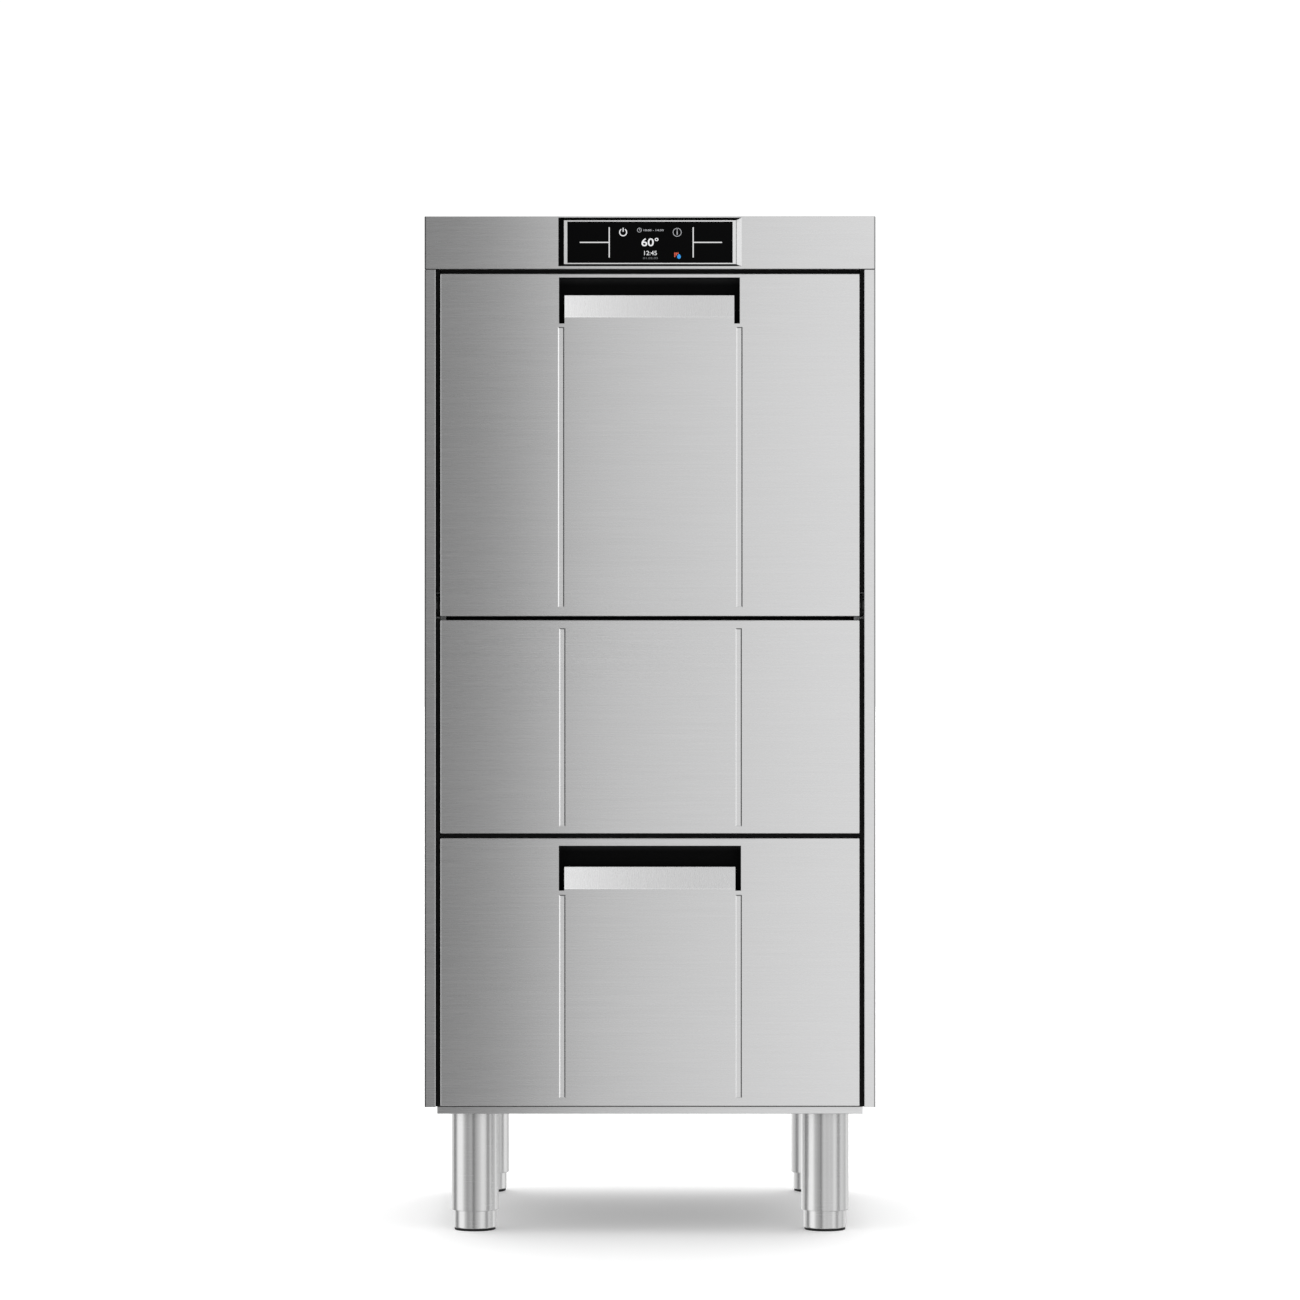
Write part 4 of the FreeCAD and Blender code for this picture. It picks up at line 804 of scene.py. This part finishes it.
def card(name, centre, turn, width, z0, z1, build):
    """Large reflection card: seen in the metal only, it lights nothing else."""
    m = bpy.data.materials.new(name)
    m.use_nodes = True
    t = Tree(m.node_tree)
    out = t.new("ShaderNodeOutputMaterial")
    e = t.new("ShaderNodeEmission")
    tc = t.new("ShaderNodeTexCoord")
    x, y, z = t.split(tc.outputs["Object"])
    t.put(e.inputs["Strength"], build(t, x, z))
    t.put(out.inputs[0], e.outputs[0])
    bm = bmesh.new()
    vs = [bm.verts.new(v) for v in ((-width / 2, 0, z0), (width / 2, 0, z0), (width / 2, 0, z1), (-width / 2, 0, z1))]
    bm.faces.new(vs)
    mesh = bpy.data.meshes.new(name)
    bm.to_mesh(mesh)
    bm.free()
    mesh.materials.append(m)
    o = bpy.data.objects.new(name, mesh)
    scene.collection.objects.link(o)
    o.location = centre
    o.rotation_euler = (0, 0, math.radians(turn))
    o.visible_camera = False
    o.visible_diffuse = False
    o.visible_shadow = False
    o.visible_transmission = False
    o.visible_volume_scatter = False
    return o


def rising(t, x, start, length, low, high):
    """Level at low up to start, then rising steeply and levelling out at high."""
    u = t.math("MAXIMUM", t.math("SUBTRACT", x, start), 0.0)
    e = t.math("EXPONENT", t.math("DIVIDE", u, -length))
    return t.math("MULTIPLY_ADD", e, low - high, high)


def front_tone(t, x, z):
    """Dark to the left, a soft step, then a slow rise to the right."""
    step = t.fit(x, -0.275, -0.105, 0.0, 0.305, True)
    slow = rising(t, x, -0.37, 0.35, 0.227, 0.70)
    tail = t.math("MULTIPLY", t.math("MAXIMUM", x, 0.0), 0.24)
    far = t.fit(x, -0.445, -0.60, 0.0, 0.42, True)
    return t.math("MULTIPLY", t.math("ADD", t.math("ADD", step, slow), t.math("ADD", tail, far)), KEY)


card("card_front", (0, -1.8, 0), 0, 1.9, -4.0, 6.0, front_tone)
card("card_left", (-2.0, 0, 0), -90, 1.8, -4.0, 6.0,
     lambda t, x, z: t.fit(x, -0.35, 0.40, 0.27 * KEY, 1.12 * KEY, True))
card("card_right", (2.0, 0, 0), 90, 1.5, -4.0, 6.0,
     lambda t, x, z: t.fit(x, -0.45, 0.55, 0.84 * KEY, 0.50 * KEY, True))
card("card_rear", (0, 1.9, 0), 180, 1.9, -4.0, 6.0,
     lambda t, x, z: t.math("MULTIPLY", rising(t, x, -0.35, 0.30, 0.45, 0.95), KEY))

world = bpy.data.worlds.new("studio")
scene.world = world
world.use_nodes = True
t = Tree(world.node_tree)
out = t.new("ShaderNodeOutputWorld")
tc = t.new("ShaderNodeTexCoord")
x, y, z = t.split(t.vec("NORMALIZE", tc.outputs["Generated"]))
az = t.math("DIVIDE", t.math("ARCTAN2", x, t.math("MULTIPLY", y, -1.0)), 2 * math.pi)   # 0 in front, + to the right
az = t.math("ADD", az, 0.5)


def deg(a):
    return a / 360.0 + 0.5


around = t.ramp(az, [(0.0, 0.85), (deg(-150), 0.78), (deg(-124), 0.58), (deg(-110), 0.52), (deg(-97), 1.0),
                     (deg(-84), 1.05), (deg(-66), 1.08), (deg(-48), 0.55), (deg(-30), 0.50), (deg(30), 0.86),
                     (deg(48), 0.90), (deg(62), 0.62), (deg(74), 0.62), (deg(86), 0.66), (deg(102), 0.84),
                     (deg(120), 0.78), (deg(142), 0.60), (1.0, 0.85)], "EASE")
# a narrow black flag to the right edges the display recess and the beads
flag = t.ramp(az, [(0.0, 0.0), (deg(57), 0.0), (deg(63), 1.0), (deg(72), 1.0), (deg(79), 0.0), (1.0, 0.0)], "EASE")
el = t.math("ARCSINE", z)
upper = t.fit(el, math.radians(25), math.radians(70), 0.0, 1.0, True)
lower = t.fit(el, math.radians(-9), math.radians(-22), 0.0, 1.0, True)
flag = t.math("MULTIPLY", flag, t.fit(el, math.radians(-8), math.radians(-3), 0.0, 0.90, True))
around = t.math("MULTIPLY", around, t.math("SUBTRACT", 1.0, flag))
high = t.fit(el, math.radians(11), math.radians(22), 1.0, 1.38, True)
env = t.mix(upper, t.vec("MULTIPLY", around, t.join(high, high, high)), (0.42, 0.42, 0.42, 1))
# the floor towards the rear corners is dimmer, so that neighbouring faces differ in oblique views
dim = t.ramp(az, [(0.0, 0.9), (deg(-160), 0.60), (deg(-122), 0.60), (deg(-100), 1.0), (deg(92), 1.0),
                  (deg(118), 0.45), (deg(155), 0.45), (1.0, 0.9)], "EASE")
ground = t.vec("ADD", t.vec("MULTIPLY", around, (0.54, 0.54, 0.54)), (0.16, 0.16, 0.16))
ground = t.vec("MULTIPLY", ground, dim)
env = t.mix(lower, env, ground)
lp = t.new("ShaderNodeLightPath")
bg_env = t.new("ShaderNodeBackground")
t.put(bg_env.inputs["Color"], env)
bg_env.inputs["Strength"].default_value = 1.15 * KEY
# soft light for the floor: mostly from above and behind, so that the shadow under the body stays near it
flat_len = t.math("MAXIMUM", t.math("SQRT", t.math("ADD", t.math("MULTIPLY", x, x), t.math("MULTIPLY", y, y))), 0.001)
behind = t.math("MAXIMUM", t.math("DIVIDE", y, flat_len), 0.0)
beside = t.math("POWER", t.math("DIVIDE", t.math("ABSOLUTE", x), flat_len), 8.0)
zenith = t.math("POWER", t.math("MAXIMUM", z, 0.0), 4.0)
soft = t.math("MULTIPLY_ADD", t.math("MULTIPLY", behind, behind), 1.75, 0.35)
soft = t.math("MULTIPLY_ADD", beside, 0.11, soft)
soft = t.math("MULTIPLY_ADD", zenith, 1.22, soft)
bg_soft = t.new("ShaderNodeBackground")
bg_soft.inputs["Color"].default_value = (1, 1, 1, 1)
t.put(bg_soft.inputs["Strength"], soft)
bg_cam = t.new("ShaderNodeBackground")
bg_cam.inputs["Color"].default_value = (1, 1, 1, 1)
bg_cam.inputs["Strength"].default_value = 1.05
m1 = t.new("ShaderNodeMixShader")
t.put(m1.inputs[0], lp.outputs["Is Diffuse Ray"])
t.put(m1.inputs[1], bg_env.outputs[0])
t.put(m1.inputs[2], bg_soft.outputs[0])
m2 = t.new("ShaderNodeMixShader")
t.put(m2.inputs[0], lp.outputs["Is Camera Ray"])
t.put(m2.inputs[1], m1.outputs[0])
t.put(m2.inputs[2], bg_cam.outputs[0])
t.put(out.inputs[0], m2.outputs[0])
